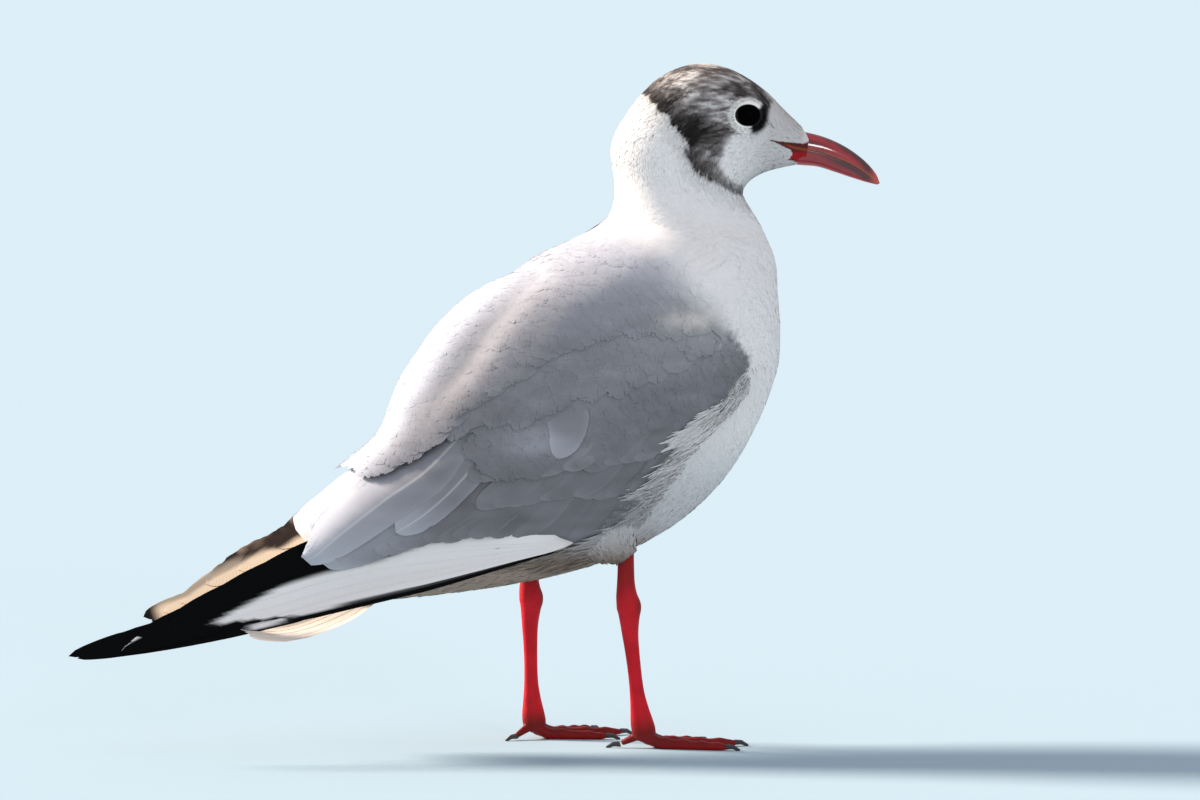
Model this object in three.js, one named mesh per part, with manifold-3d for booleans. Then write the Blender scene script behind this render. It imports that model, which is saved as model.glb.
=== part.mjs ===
// A black-headed gull standing at rest, life size, in millimetres. +X runs towards the bill, +Y to the
// bird's left and +Z up; the floor is z = 0 and the origin lies under the middle of the bird.
//
// The body is one loft between an upper line (crown, nape, back, rump) and a lower line (throat, breast,
// belly, vent). Thin cuts part it into head, neck and trunk. The folded wings are shells cut from a second
// loft that runs on over the rump, and lie in shallow pockets of the trunk.
import * as THREE from "three";
import { mergeVertices } from "three/addons/utils/BufferGeometryUtils.js";
import Module from "manifold-3d";

const wasm = await Module();
wasm.setup();

// ---------------------------------------------------------------- driving dimensions

const GAP = 0.3; // clearance between neighbouring pieces
const RIGHT = -1; // the side of the bird, as a sign on Y
const LEFT = 1;

const HEAD_TURN = THREE.MathUtils.degToRad(-14); // the head looks a little to the right
const HEAD_PIVOT_X = 38; // the head turns about the vertical through the neck
const TURN_STARTS = 6; // station where the full turn begins to fade
const TURN_ENDS = 9.5; // station where the body faces straight on

const EYE = { x: 67.4, z: 235.6, out: 9.7, radius: 6 };
const WING_THICKNESS = 5; // feather layer that folds over the flank
const WING_PROUD = 1.2; // how far it stands out from the body's own form

const LEG = {
  [RIGHT]: { hip: [15, 84], ankle: [15.8, 53], foot: [21, 6], y: -21, heading: -4 },
  [LEFT]: { hip: [-9, 76], ankle: [-9.6, 53], foot: [-8.6, 6], y: 21, heading: 3 },
};
const ANKLE_RADIUS = 4.2;
const FOOT_JOINT_RADIUS = 3.8;
const SHANK_RADIUS = 2.4;
const SHANK_SQUEEZE = 0.68; // the shank is narrower than it is deep
const TOE_SINK = 0.4; // the pads are cut flat by the floor this far below their round
const WEB_THICKNESS = 1.1;
const WEB_LIFT = 0.4; // the web hangs clear of the floor
// Toes of the left foot: angle from straight ahead, length, radius at the root and at the tip.
const TOES = {
  inner: { angle: -24, length: 28, root: 2.6, tip: 1.6 },
  middle: { angle: 2, length: 36, root: 2.8, tip: 1.7 },
  outer: { angle: 27, length: 33, root: 2.6, tip: 1.6 },
};
const HIND_TOE = { angle: 200, length: 7.5, lift: 4.6, drop: 3.1, root: 1.7, tip: 1.1 };
const CLAW = { length: 5.2, radius: 1.1, height: 1.5, tip: 0.5 };

// Stations of the body from the bill's root to the tail's root: [x, z] on the upper line, [x, z] on the
// lower line, and half the width between them.
const BODY = [
  { top: [91.5, 228.2], bottom: [89.5, 217.2], half: 4.6 }, // bill's root
  { top: [82.3, 237.2], bottom: [81, 215.6], half: 8.2 }, // lores
  { top: [73, 246.3], bottom: [74.6, 213.8], half: 12.4 }, // eye
  { top: [60, 253.6], bottom: [69.6, 210.9], half: 15.2 }, // crown
  { top: [46.5, 254.8], bottom: [67, 207.6], half: 16.9 }, // ear
  { top: [33.5, 248.9], bottom: [66.6, 205.2], half: 17.5 },
  { top: [23.8, 238], bottom: [67.8, 203], half: 17.4 }, // nape
  { top: [16.2, 224], bottom: [70.4, 199.5], half: 18 },
  { top: [18.6, 206.2], bottom: [74.5, 192.5], half: 21 }, // neck's root
  { top: [12.4, 193.2], bottom: [79.5, 181], half: 30 },
  { top: [-12, 182.3], bottom: [81.5, 163], half: 39.5 }, // shoulders
  { top: [-33, 172], bottom: [81, 140], half: 45 },
  { top: [-50, 158], bottom: [69, 110], half: 46 },
  { top: [-64, 135], bottom: [45.5, 84.8], half: 43.5 },
  { top: [-77, 111], bottom: [14, 68.5], half: 34.5 },
  { top: [-92, 94], bottom: [-24, 60.4], half: 25 }, // rump
  { top: [-103, 79], bottom: [-62, 57], half: 16 },
  { top: [-110, 67], bottom: [-90, 55], half: 9 }, // tail's root
];
// The wings' outer form follows the body as far as the mid back and then runs on over the rump.
const WING_FORM_FROM = 8;
const WING_FORM = [
  ...BODY.slice(WING_FORM_FROM, 14),
  { top: [-75, 116], bottom: [10, 68], half: 36 },
  { top: [-92, 103.5], bottom: [-40, 63], half: 27 },
  { top: [-107, 88.5], bottom: [-80, 59], half: 19 },
  { top: [-122, 71], bottom: [-112, 56], half: 11 },
];
const HEAD_CUT = { point: [45, 220], normal: [-0.58, -0.815] }; // throat to nape
const NECK_CUT = { point: [45, 192], normal: [-0.2, -0.98] }; // breast to mantle

const COLOURS = {
  white: 0xeceae8,
  mottle: 0x8d8886,
  grey: 0x9a9ca8,
  black: 0x14110f,
  billRed: 0x8f2b30,
  legRed: 0xc8404a,
  eye: 0x120a08,
};

// ---------------------------------------------------------------- tools

const vec = (x, y, z) => new THREE.Vector3(x, y, z);
const smooth = (low, high, value) => THREE.MathUtils.smoothstep(value, low, high);

// A closed surface of rings. pointAt(share, angle, reach) places a point: share runs 0 to 1 from the first
// ring to the last, angle goes round, and reach is 1 on the ring and 0 at its middle, which closes the ends.
function ringed(rings, around, pointAt) {
  const geometry = new THREE.SphereGeometry(1, around, rings + 1);
  const position = geometry.getAttribute("position");
  for (let i = 0; i < position.count; i++) {
    const row = Math.floor(i / (around + 1));
    const column = i % (around + 1) % around;
    const share = THREE.MathUtils.clamp((row - 1) / (rings - 1), 0, 1);
    const reach = row === 0 || row === rings + 1 ? 0 : 1;
    const point = pointAt(share, (column / around) * 2 * Math.PI, reach);
    position.setXYZ(i, point.x, point.y, point.z);
  }
  return geometry;
}

// A geometry as a solid for cutting and joining, turned inside out if its faces point inwards.
function solid(geometry) {
  const bare = new THREE.BufferGeometry();
  bare.setAttribute("position", geometry.getAttribute("position"));
  if (geometry.index) bare.setIndex(geometry.index);
  const merged = mergeVertices(bare, 1e-4);
  const triVerts = new Uint32Array(merged.index.array);
  const make = () =>
    new wasm.Manifold(
      new wasm.Mesh({ numProp: 3, vertProperties: merged.attributes.position.array, triVerts }),
    );
  const made = make();
  if (made.volume() > 0) return made;
  for (let i = 0; i < triVerts.length; i += 3) {
    [triVerts[i + 1], triVerts[i + 2]] = [triVerts[i + 2], triVerts[i + 1]];
  }
  return make();
}

// The largest of the separate bodies in a solid.
function largest(cut) {
  return cut.decompose().reduce((best, body) => (body.volume() > best.volume() ? body : best));
}

function toGeometry(cut) {
  const { vertProperties, triVerts } = cut.getMesh();
  const geometry = new THREE.BufferGeometry();
  geometry.setAttribute("position", new THREE.BufferAttribute(vertProperties, 3));
  geometry.setIndex(new THREE.BufferAttribute(triVerts, 1));
  geometry.computeVertexNormals();
  return geometry;
}

const gull = new THREE.Group();

function add(name, cut, colour, roughness = 0.85) {
  const material = new THREE.MeshStandardMaterial({ color: colour, roughness, metalness: 0 });
  const mesh = new THREE.Mesh(toGeometry(largest(cut)), material);
  mesh.name = name;
  gull.add(mesh);
}

const sideName = (side) => (side === LEFT ? "left" : "right");

// Everything on the far side of a plane that stands on edge along Y, from the plane outwards by GAP / 2.
function beyond(cut, direction) {
  const size = 600;
  const normal = vec(cut.normal[0], 0, cut.normal[1]).normalize().multiplyScalar(direction);
  const box = new THREE.BoxGeometry(size, size, size);
  const middle = vec(cut.point[0], 0, cut.point[1]).addScaledVector(normal, (size + GAP) / 2);
  const turn = new THREE.Quaternion().setFromUnitVectors(vec(0, 0, 1), normal);
  box.applyMatrix4(new THREE.Matrix4().compose(middle, turn, vec(1, 1, 1)));
  return solid(box);
}

// A closed outline in side view, as [x, z] corners that a smooth line joins, pushed inwards by an inset
// and extruded along Y from one distance out to another on the given side.
function sidePrism(corners, inset, from, to, side) {
  const curve = new THREE.CatmullRomCurve3(
    corners.map(([x, z]) => vec(x, z, 0)),
    true,
    "centripetal",
  );
  const count = corners.length * 2;
  const points = Array.from({ length: count }, (_, i) => {
    const inwards = curve.getTangent(i / count);
    const point = curve.getPoint(i / count);
    return new THREE.Vector2(point.x + inwards.y * inset, point.y - inwards.x * inset);
  });
  const geometry = new THREE.ExtrudeGeometry(new THREE.Shape(points), {
    depth: to - from,
    bevelEnabled: false,
    steps: 1,
  });
  // The shape's plane becomes XZ, and its depth runs out along the side's Y.
  geometry.rotateX(Math.PI / 2);
  geometry.translate(0, side === LEFT ? to : -from, 0);
  return solid(geometry);
}

// ---------------------------------------------------------------- body and wing forms

const TOP_HEAVY = 0.08; // how far the sections' widest level lies above their middle

// A loft through stations, drawn in by an inset all round.
function bodyLoft(stations, rings, around, inset = 0, firstStation = 0) {
  const line = (key) =>
    new THREE.CatmullRomCurve3(
      stations.map((s) => vec(s[key][0], 0, s[key][1])),
      false,
      "catmullrom",
      0.5,
    );
  const halves = new THREE.SplineCurve(stations.map((s, i) => new THREE.Vector2(i, s.half)));
  const top = line("top");
  const bottom = line("bottom");
  return ringed(rings, around, (share, angle, reach) => {
    const high = top.getPoint(share);
    const low = bottom.getPoint(share);
    const upright = high.clone().sub(low);
    const height = upright.length() / 2 - inset;
    const half = halves.getPoint(share).y - inset;
    const level = Math.cos(angle);
    const point = high
      .add(low)
      .multiplyScalar(0.5)
      .addScaledVector(upright.normalize(), height * level * reach);
    point.y = half * Math.sin(angle) * (1 + TOP_HEAVY * level) * reach;
    const station = firstStation + share * (stations.length - 1);
    const turn = HEAD_TURN * (1 - smooth(TURN_STARTS, TURN_ENDS, station));
    return turnedHead(point, turn);
  });
}

function turnedHead(point, turn) {
  const x = point.x - HEAD_PIVOT_X;
  return vec(
    HEAD_PIVOT_X + x * Math.cos(turn) - point.y * Math.sin(turn),
    x * Math.sin(turn) + point.y * Math.cos(turn),
    point.z,
  );
}

const BODY_RINGS = 32;
const WING_RINGS = 15;
const AROUND = 20;
const bodyForm = solid(bodyLoft(BODY, BODY_RINGS, AROUND));
const bodyGrown = solid(bodyLoft(BODY, BODY_RINGS, AROUND, -GAP));
const wingForm = (depth) =>
  solid(bodyLoft(WING_FORM, WING_RINGS, AROUND, depth - WING_PROUD, WING_FORM_FROM));
const wingShell = wingForm(0).subtract(wingForm(WING_THICKNESS));
const wingCore = wingForm(WING_THICKNESS + GAP);

// Side outlines of the wing's tracts, each run clockwise from its front.
const SCAPULARS = [
  [55, 156],
  [35, 152],
  [14, 140],
  [-10, 131],
  [-41, 122],
  [-58, 116],
  [-51, 133],
  [-33, 163],
  [-10, 175],
  [20, 176],
  [42, 172],
];
const COVERTS = [
  [62, 143],
  [56, 131],
  [34, 120],
  [18, 103],
  [14, 88],
  [3, 75],
  [-21, 77],
  [-34, 98],
  [-41, 122],
  [-10, 131],
  [14, 140],
  [35, 152],
  [55, 156],
];
const TERTIALS = [
  [-41, 122],
  [-34, 98],
  [-21, 77],
  [-38, 78],
  [-75, 71],
  [-97, 69],
  [-106, 74],
  [-105, 86],
  [-95, 98],
  [-59, 117],
];
// The left wing's tertials close over the back, down to the upper edge of the right wing's.
const CLOSING = [
  [-59, 117],
  [-95, 98],
  [-105, 86],
  [-112, 92],
  [-100, 116],
  [-70, 146],
  [-56, 140],
];
const WING_REACH = 80; // the prisms end well outside the bird
const MIDLINE_GAP = 1; // each side's tracts end this far from the middle
const TRACTS = [
  { outline: SCAPULARS, nodeName: (side) => `scapulars_${side}` },
  { outline: COVERTS, nodeName: (side) => `wing_${side}_coverts` },
  { outline: TERTIALS, nodeName: (side) => `wing_${side}_tertials` },
];

// ---------------------------------------------------------------- blades: folded primaries and tail

// A thin blade between two edges, thick in the middle and arched by its camber. grow swells it all round.
function blade({ upper, lower, thickness, camber, rings = 11, around = 8 }, grow = 0) {
  const edge = (points) => new THREE.CatmullRomCurve3(points.map((p) => vec(...p)));
  const high = edge(upper);
  const low = edge(lower);
  return ringed(rings, around, (share, angle, reach) => {
    const top = high.getPoint(share);
    const bottom = low.getPoint(share);
    const across = top.clone().sub(bottom);
    const along = high.getTangent(share).add(low.getTangent(share));
    const out = across.clone().cross(along).normalize();
    const half = across.length() / 2 + grow;
    const thick = THREE.MathUtils.lerp(thickness[0], thickness[1], share) / 2 + grow;
    const level = Math.cos(angle) * reach;
    return top
      .add(bottom)
      .multiplyScalar(0.5)
      .addScaledVector(across.normalize(), half * level)
      .addScaledVector(out, thick * Math.sin(angle) * reach + camber * (1 - level * level));
  });
}

// The primaries of a wing: the upper edge is hidden under the tertials, the lower edge is the outermost
// primary, and both run to the wing tip. The right wing is folded a little further than the left.
const PRIMARIES = {
  [RIGHT]: {
    upper: [
      [-30, -29, 92],
      [-72, -17, 84],
      [-107, -10, 68.5],
      [-145, -6, 56],
      [-173, -5, 47.5],
      [-193, -5, 40.5],
    ],
    lower: [
      [-20, -34, 74],
      [-67, -28, 63],
      [-92, -22, 55],
      [-122, -15, 48],
      [-162, -9, 39.5],
      [-192, -6, 37],
    ],
    camber: -3,
  },
  [LEFT]: {
    upper: [
      [-30, 29, 96],
      [-72, 17, 100],
      [-102, 10, 92],
      [-133, 8, 73],
      [-152, 7, 61.5],
      [-166, 7, 51.5],
    ],
    lower: [
      [-20, 34, 76],
      [-62, 29, 67],
      [-92, 23, 61],
      [-122, 16, 56],
      [-146, 10, 52],
      [-165, 8, 49.5],
    ],
    camber: 3,
  },
};
const primaries = (side, grow) => solid(blade({ ...PRIMARIES[side], thickness: [4, 1.2] }, grow));

const TAIL_GAP = 1; // room between the tail and the primaries that cross it
const TAIL = {
  upper: [
    [-70, 13, 64],
    [-92, 17, 51],
    [-114, 21, 44],
    [-134, 19, 46],
  ],
  lower: [
    [-70, -13, 64],
    [-92, -17, 51],
    [-114, -21, 44],
    [-134, -19, 46],
  ],
  thickness: [4, 1.4],
  camber: 3.5,
};

// ---------------------------------------------------------------- head

// A geometry of the straight head, turned with it.
const turnWithHead = (geometry) => {
  const turn = new THREE.Matrix4()
    .makeTranslation(HEAD_PIVOT_X, 0, 0)
    .multiply(new THREE.Matrix4().makeRotationZ(HEAD_TURN))
    .multiply(new THREE.Matrix4().makeTranslation(-HEAD_PIVOT_X, 0, 0));
  return geometry.applyMatrix4(turn);
};

// Lines of the bill in side view, from inside the head to the tip.
const CULMEN = [
  [80, 230.5],
  [90, 229],
  [98, 226.8],
  [105.5, 223.2],
  [112, 218.4],
  [116.3, 213.6],
  [118, 209.8],
];
const GONYS = [
  [80, 217.4],
  [88, 216.6],
  [94.5, 216],
  [101, 214],
  [107, 212],
  [112.4, 210.3],
  [116.8, 209.2],
];
const MOUTH_LINE = [
  [76, 224],
  [86, 223.2],
  [94, 221.8],
  [102, 219],
  [108, 216.3],
  [114, 212.3],
  [116.6, 209.8],
  [121, 204],
];
const BILL_HALF_WIDTH = 4.6;

function billForm(grow = 0) {
  const edge = (points) => new THREE.CatmullRomCurve3(points.map(([x, z]) => vec(x, 0, z)));
  const culmen = edge(CULMEN);
  const gonys = edge(GONYS);
  const geometry = ringed(12, 10, (share, angle, reach) => {
    const top = culmen.getPoint(share);
    const bottom = gonys.getPoint(share);
    const across = top.clone().sub(bottom);
    const height = across.length() / 2 + grow;
    const point = top
      .add(bottom)
      .multiplyScalar(0.5)
      .addScaledVector(across.normalize(), height * Math.cos(angle) * reach);
    const half = BILL_HALF_WIDTH * (1 - 0.84 * share ** 1.15) + grow;
    point.y = half * Math.sin(angle) * reach;
    return point;
  });
  return solid(turnWithHead(geometry));
}

// All that lies above (1) or below (-1) the mouth line, less half the gap.
function mouthSide(direction) {
  const line = new THREE.SplineCurve(MOUTH_LINE.map(([x, z]) => new THREE.Vector2(x, z)))
    .getPoints(18)
    .map((p) => p.add(new THREE.Vector2(0, (direction * GAP) / 2)));
  const outwards = 40 * direction;
  const shape = new THREE.Shape([
    ...line,
    new THREE.Vector2(line.at(-1).x, line.at(-1).y + outwards),
    new THREE.Vector2(line[0].x, line[0].y + outwards),
  ]);
  const slab = new THREE.ExtrudeGeometry(shape, { depth: 40, bevelEnabled: false });
  slab.rotateX(Math.PI / 2);
  slab.translate(0, 20, 0);
  return solid(turnWithHead(slab));
}

function eyeball(side, grow = 0) {
  const ball = new THREE.SphereGeometry(EYE.radius + grow, 12, 8);
  ball.rotateX(Math.PI / 2);
  return turnWithHead(ball.translate(EYE.x, side * EYE.out, EYE.z));
}

// ---------------------------------------------------------------- legs and feet

// A limb along a path, round or squeezed sideways, with a radius for each of its points.
function limb(points, radii, { squeeze = 1, rings = 12, around = 8, grow = 0 } = {}) {
  const path = new THREE.CatmullRomCurve3(points.map((p) => vec(...p)));
  const sizes = new THREE.SplineCurve(radii.map((r, i) => new THREE.Vector2(i, r)));
  return ringed(rings, around, (share, angle, reach) => {
    const tangent = path.getTangent(share);
    const sideways = vec(0, 0, 1).cross(tangent);
    if (sideways.length() < 0.5) sideways.set(0, 1, 0);
    sideways.normalize();
    const upwards = tangent.clone().cross(sideways);
    const radius = sizes.getPoint(share).y + grow;
    return path
      .getPoint(share)
      .addScaledVector(sideways, radius * squeeze * Math.sin(angle) * reach)
      .addScaledVector(upwards, -radius * Math.cos(angle) * reach);
  });
}

function shank(side, grow = 0) {
  const { hip, ankle, foot, y } = LEG[side];
  const mid = [(ankle[0] * 2 + foot[0]) / 3, (ankle[1] * 2 + foot[1]) / 3];
  const low = [(ankle[0] + foot[0] * 3) / 4, (ankle[1] + foot[1] * 3) / 4];
  const points = [
    [hip[0], y, hip[1]],
    [ankle[0], y, ankle[1] + 8],
    [ankle[0] + 0.8, y, ankle[1]],
    [mid[0], y, mid[1]],
    [low[0], y, low[1]],
    [foot[0], y, foot[1]],
  ];
  const radii = [2.9, 3.1, ANKLE_RADIUS, SHANK_RADIUS * 1.15, SHANK_RADIUS, FOOT_JOINT_RADIUS];
  return limb(points, radii, { squeeze: SHANK_SQUEEZE, rings: 14, grow });
}

function thigh(side) {
  const { hip, ankle, y } = LEG[side];
  const points = [
    [hip[0] - 6, y * 0.9, hip[1] + 12],
    [hip[0] - 3, y * 0.95, (hip[1] + ankle[1]) / 2 + 12],
    [ankle[0] - 0.5, y, ankle[1] + 18],
  ];
  return limb(points, [15, 11, 4.6], { rings: 5, around: 12 });
}

// A toe lies along its heading on the floor, from the foot's joint to its tip.
function toePoints(side, toe) {
  const { foot, y, heading } = LEG[side];
  const angle = THREE.MathUtils.degToRad(toe.angle * side + heading);
  const at = (share, z) => [
    foot[0] + Math.cos(angle) * toe.length * share,
    y + Math.sin(angle) * toe.length * share,
    z,
  ];
  return at;
}

function frontToe(side, toe, grow = 0) {
  const at = toePoints(side, toe);
  const radii = [toe.root, toe.root * 0.85, toe.tip * 1.05, toe.tip];
  const points = radii.map((radius, i) => at(i / (radii.length - 1), radius - TOE_SINK));
  return limb(points, radii, { rings: 5, around: 6, grow });
}

function hindToe(side, grow = 0) {
  const at = toePoints(side, HIND_TOE);
  const points = [0, 0.5, 1].map((share) => at(share, HIND_TOE.lift - HIND_TOE.drop * share));
  return limb(points, [HIND_TOE.root, HIND_TOE.root * 0.9, HIND_TOE.tip], { rings: 3, around: 6, grow });
}

// The web hangs between two toes, with a hollow front edge.
function web(side, first, second) {
  const a = toePoints(side, first);
  const b = toePoints(side, second);
  const flat = (p) => new THREE.Vector2(p[0], p[1]);
  const root = flat(a(0.05, 0));
  const tipA = flat(a(0.9, 0));
  const tipB = flat(b(0.9, 0));
  const hollow = tipA.clone().add(tipB).multiplyScalar(0.5).lerp(root, 0.3);
  const shape = new THREE.Shape();
  shape.moveTo(root.x, root.y);
  shape.lineTo(tipA.x, tipA.y);
  shape.quadraticCurveTo(hollow.x, hollow.y, tipB.x, tipB.y);
  shape.closePath();
  return new THREE.ExtrudeGeometry(shape, {
    depth: WEB_THICKNESS,
    bevelEnabled: false,
    curveSegments: 3,
  }).translate(0, 0, WEB_LIFT);
}

// A claw curves down from the tip of its toe until its point touches the floor.
function claw(side, toe) {
  const at = toePoints(side, toe);
  const reach = CLAW.length / toe.length;
  const z = CLAW.height;
  const points = [at(0.97, z), at(1 + reach * 0.5, z * 0.95), at(1 + reach, CLAW.tip - TOE_SINK)];
  return limb(points, [CLAW.radius, CLAW.radius * 0.8, CLAW.tip], { rings: 3, around: 6 });
}

const aboveFloor = solid(new THREE.BoxGeometry(600, 600, 300).translate(0, 0, 150));

function buildLeg(side) {
  const name = sideName(side);
  const shankWide = solid(shank(side, GAP));
  add(
    `leg_${name}_thigh`,
    solid(thigh(side)).subtract(bodyGrown).subtract(wingRoom).subtract(shankWide),
    COLOURS.white,
  );

  const fronts = Object.values(TOES);
  let foot = fronts.reduce(
    (sum, toe) => sum.add(solid(frontToe(side, toe))),
    solid(hindToe(side)),
  );
  foot = foot.add(solid(web(side, TOES.inner, TOES.middle)));
  foot = foot.add(solid(web(side, TOES.middle, TOES.outer)));
  add(`foot_${name}`, foot.subtract(shankWide).intersect(aboveFloor), COLOURS.legRed, 0.55);
  add(
    `leg_${name}_shank`,
    solid(shank(side)).intersect(aboveFloor).subtract(bodyGrown),
    COLOURS.legRed,
    0.55,
  );

  for (const [toeName, toe] of Object.entries({ ...TOES, hind: HIND_TOE })) {
    const grown = toe === HIND_TOE ? hindToe(side, GAP) : frontToe(side, toe, GAP);
    const nail = solid(claw(side, toe)).subtract(solid(grown)).intersect(aboveFloor);
    add(`claw_${name}_${toeName}`, nail, COLOURS.black, 0.4);
  }
}

// ---------------------------------------------------------------- assembly

const closingPrism = (inset) => sidePrism(CLOSING, inset, -WING_REACH, WING_REACH, LEFT);

// The room that the wings' layer of feathers takes up on both sides, with its clearance.
const wingRoom = TRACTS.reduce(
  (sum, { outline }) => sum.add(sidePrism(outline, 0, -WING_REACH, WING_REACH, LEFT)),
  closingPrism(-GAP),
).intersect(wingForm(-1).subtract(wingCore));

function buildBody() {
  let trunk = bodyForm.subtract(wingRoom);
  for (const side of [RIGHT, LEFT]) trunk = trunk.subtract(primaries(side, GAP));
  let head = bodyForm.intersect(beyond(HEAD_CUT, -1)).subtract(billForm(GAP));
  for (const side of [RIGHT, LEFT]) head = head.subtract(solid(eyeball(side, GAP)));
  add("head", head, COLOURS.mottle);
  const belowHead = trunk.intersect(beyond(HEAD_CUT, 1));
  add("neck", belowHead.intersect(beyond(NECK_CUT, -1)), COLOURS.white);
  add("trunk", belowHead.intersect(beyond(NECK_CUT, 1)), COLOURS.white);
}

function buildBillAndEyes() {
  add("bill_upper", billForm().intersect(mouthSide(1)), COLOURS.billRed, 0.35);
  add("bill_lower", billForm().intersect(mouthSide(-1)), COLOURS.billRed, 0.35);
  for (const side of [RIGHT, LEFT]) add(`eye_${sideName(side)}`, solid(eyeball(side)), COLOURS.eye, 0.1);
}

// The tracts of one wing, cut from the shell. An earlier tract lies over the later ones and trims them.
function buildWing(side) {
  const name = sideName(side);
  const covering = [];
  for (const { outline, nodeName } of TRACTS) {
    let piece = wingShell.intersect(sidePrism(outline, 0, MIDLINE_GAP, WING_REACH, side));
    if (outline === TERTIALS && side === LEFT) piece = piece.add(wingShell.intersect(closingPrism(0)));
    if (outline === TERTIALS && side === RIGHT) piece = piece.subtract(closingPrism(-GAP));
    for (const earlier of covering) {
      piece = piece.subtract(sidePrism(earlier, -GAP, -WING_REACH, WING_REACH, side));
    }
    add(nodeName(name), piece, COLOURS.grey);
    covering.push(outline);
  }
  const tips = primaries(side).subtract(wingRoom).subtract(bodyGrown);
  add(`wing_${name}_primaries`, tips, COLOURS.white);
}

function buildTail() {
  const wings = primaries(RIGHT, TAIL_GAP).add(primaries(LEFT, TAIL_GAP));
  add("tail", solid(blade(TAIL)).subtract(bodyGrown).subtract(wings), COLOURS.white);
}

buildBody();
buildBillAndEyes();
for (const side of [RIGHT, LEFT]) {
  buildWing(side);
  buildLeg(side);
}
buildTail();

// The origin moves to the floor under the middle of the whole bird's box.
const box = new THREE.Box3().setFromObject(gull);
const middle = box.getCenter(vec(0, 0, 0));
gull.position.set(-middle.x, -middle.y, -box.min.z);

export default gull;
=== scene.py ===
"""Looks for a life-size black-headed gull: skin, eyes, bill, legs and a coat of mesh feathers on the CAD frame."""

import math

import bpy
import numpy as np
from mathutils import Matrix, Vector
from mathutils.bvhtree import BVHTree


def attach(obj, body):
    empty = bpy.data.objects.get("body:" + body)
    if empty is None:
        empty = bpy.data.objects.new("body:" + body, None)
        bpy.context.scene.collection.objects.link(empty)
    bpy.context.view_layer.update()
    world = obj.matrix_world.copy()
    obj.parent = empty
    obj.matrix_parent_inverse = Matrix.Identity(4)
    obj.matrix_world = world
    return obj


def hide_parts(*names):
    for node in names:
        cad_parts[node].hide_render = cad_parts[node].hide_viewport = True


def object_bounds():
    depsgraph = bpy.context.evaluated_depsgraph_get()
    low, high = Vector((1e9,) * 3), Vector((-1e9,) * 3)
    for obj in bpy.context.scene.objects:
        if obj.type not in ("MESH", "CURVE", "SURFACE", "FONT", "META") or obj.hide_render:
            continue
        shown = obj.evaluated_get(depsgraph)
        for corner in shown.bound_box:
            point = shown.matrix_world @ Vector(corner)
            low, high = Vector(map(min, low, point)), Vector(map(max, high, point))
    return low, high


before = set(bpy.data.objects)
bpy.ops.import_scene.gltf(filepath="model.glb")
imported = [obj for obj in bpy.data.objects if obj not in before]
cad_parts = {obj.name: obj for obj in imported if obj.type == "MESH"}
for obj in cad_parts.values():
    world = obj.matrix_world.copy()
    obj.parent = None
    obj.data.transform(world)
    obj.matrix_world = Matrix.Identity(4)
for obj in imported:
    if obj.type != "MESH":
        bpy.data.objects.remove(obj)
box_at_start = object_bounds()
rng = np.random.default_rng(7)

# ------------------------------------------------------------------ the bird's own frame, in millimetres
# Shapes below are in millimetres in the frame that the solids were drawn in: x towards the bill, y to the
# bird's left, z up from the floor. The right wing's tip is at WING_TIP_X there.

MM = 0.001
WING_TIP_X = -193.0
RIGHT, LEFT = -1, 1
SIDE_NAME = {RIGHT: "right", LEFT: "left"}
ORIGIN = np.array([box_at_start[0][0] / MM - WING_TIP_X, 0.0, 0.0])


def to_world(points):
    return (np.asarray(points, float) + ORIGIN) * MM


def from_world(points):
    return np.asarray(points, float) / MM - ORIGIN


def smooth(low, high, value):
    x = np.clip((np.asarray(value, float) - low) / (high - low), 0.0, 1.0)
    return x * x * (3 - 2 * x)


def mix(a, b, share):
    return a + (b - a) * share


def unit(v):
    return v / np.maximum(np.linalg.norm(v, axis=-1, keepdims=True), 1e-9)


def spline(points, share):
    """Points on a Catmull-Rom curve, at shares of 0 to 1 of its spans."""
    p = np.asarray(points, float)
    p = np.concatenate([[2 * p[0] - p[1]], p, [2 * p[-1] - p[-2]]])
    spans = len(p) - 3
    x = np.clip(np.asarray(share, float), 0, 1) * spans
    i = np.minimum(x.astype(int), spans - 1)
    f = (x - i)[..., None]
    a, b, c, d = p[i], p[i + 1], p[i + 2], p[i + 3]
    return 0.5 * (2 * b + (c - a) * f + (2 * a - 5 * b + 4 * c - d) * f**2 + (3 * b - a - 3 * c + d) * f**3)


def noise(points, size, seed):
    """Seeded value noise of 0 to 1, with features about `size` across; size may be a number per axis."""
    q = np.asarray(points, float) / np.asarray(size, float) + seed * 17.37
    cell = np.floor(q).astype(np.int64)
    f = q - cell
    f = f * f * (3 - 2 * f)

    def corner(dx, dy, dz):
        n = (cell[..., 0] + dx) * 73856093 ^ (cell[..., 1] + dy) * 19349663 ^ (cell[..., 2] + dz) * 83492791
        n = ((n ^ (n >> 13)) * 1274126177) & 0xFFFFFFFF
        return ((n ^ (n >> 15)) & 0xFFFF) / 65535.0

    x, y, z = f[..., 0], f[..., 1], f[..., 2]
    low = mix(mix(corner(0, 0, 0), corner(1, 0, 0), x), mix(corner(0, 1, 0), corner(1, 1, 0), x), y)
    high = mix(mix(corner(0, 0, 1), corner(1, 0, 1), x), mix(corner(0, 1, 1), corner(1, 1, 1), x), y)
    return mix(low, high, z)


def blend(colours, other, share):
    """Colours with a share of another mixed in, point by point."""
    return mix(colours, other, np.asarray(share)[..., None])


def paint(r, g, b):
    """A colour given as 0 to 255 on a screen, as linear light."""
    c = np.array([r, g, b]) / 255.0
    return np.where(c <= 0.04045, c / 12.92, ((c + 0.055) / 1.055) ** 2.4)


# ------------------------------------------------------------------ the body's envelope
# Sections fan from the bill's root to the end of the back, under the wing tips. Each row is [x, z] on the upper
# line, [x, z] on the lower line and half the width. The solids' outer surface is sampled on rays in them.

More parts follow.
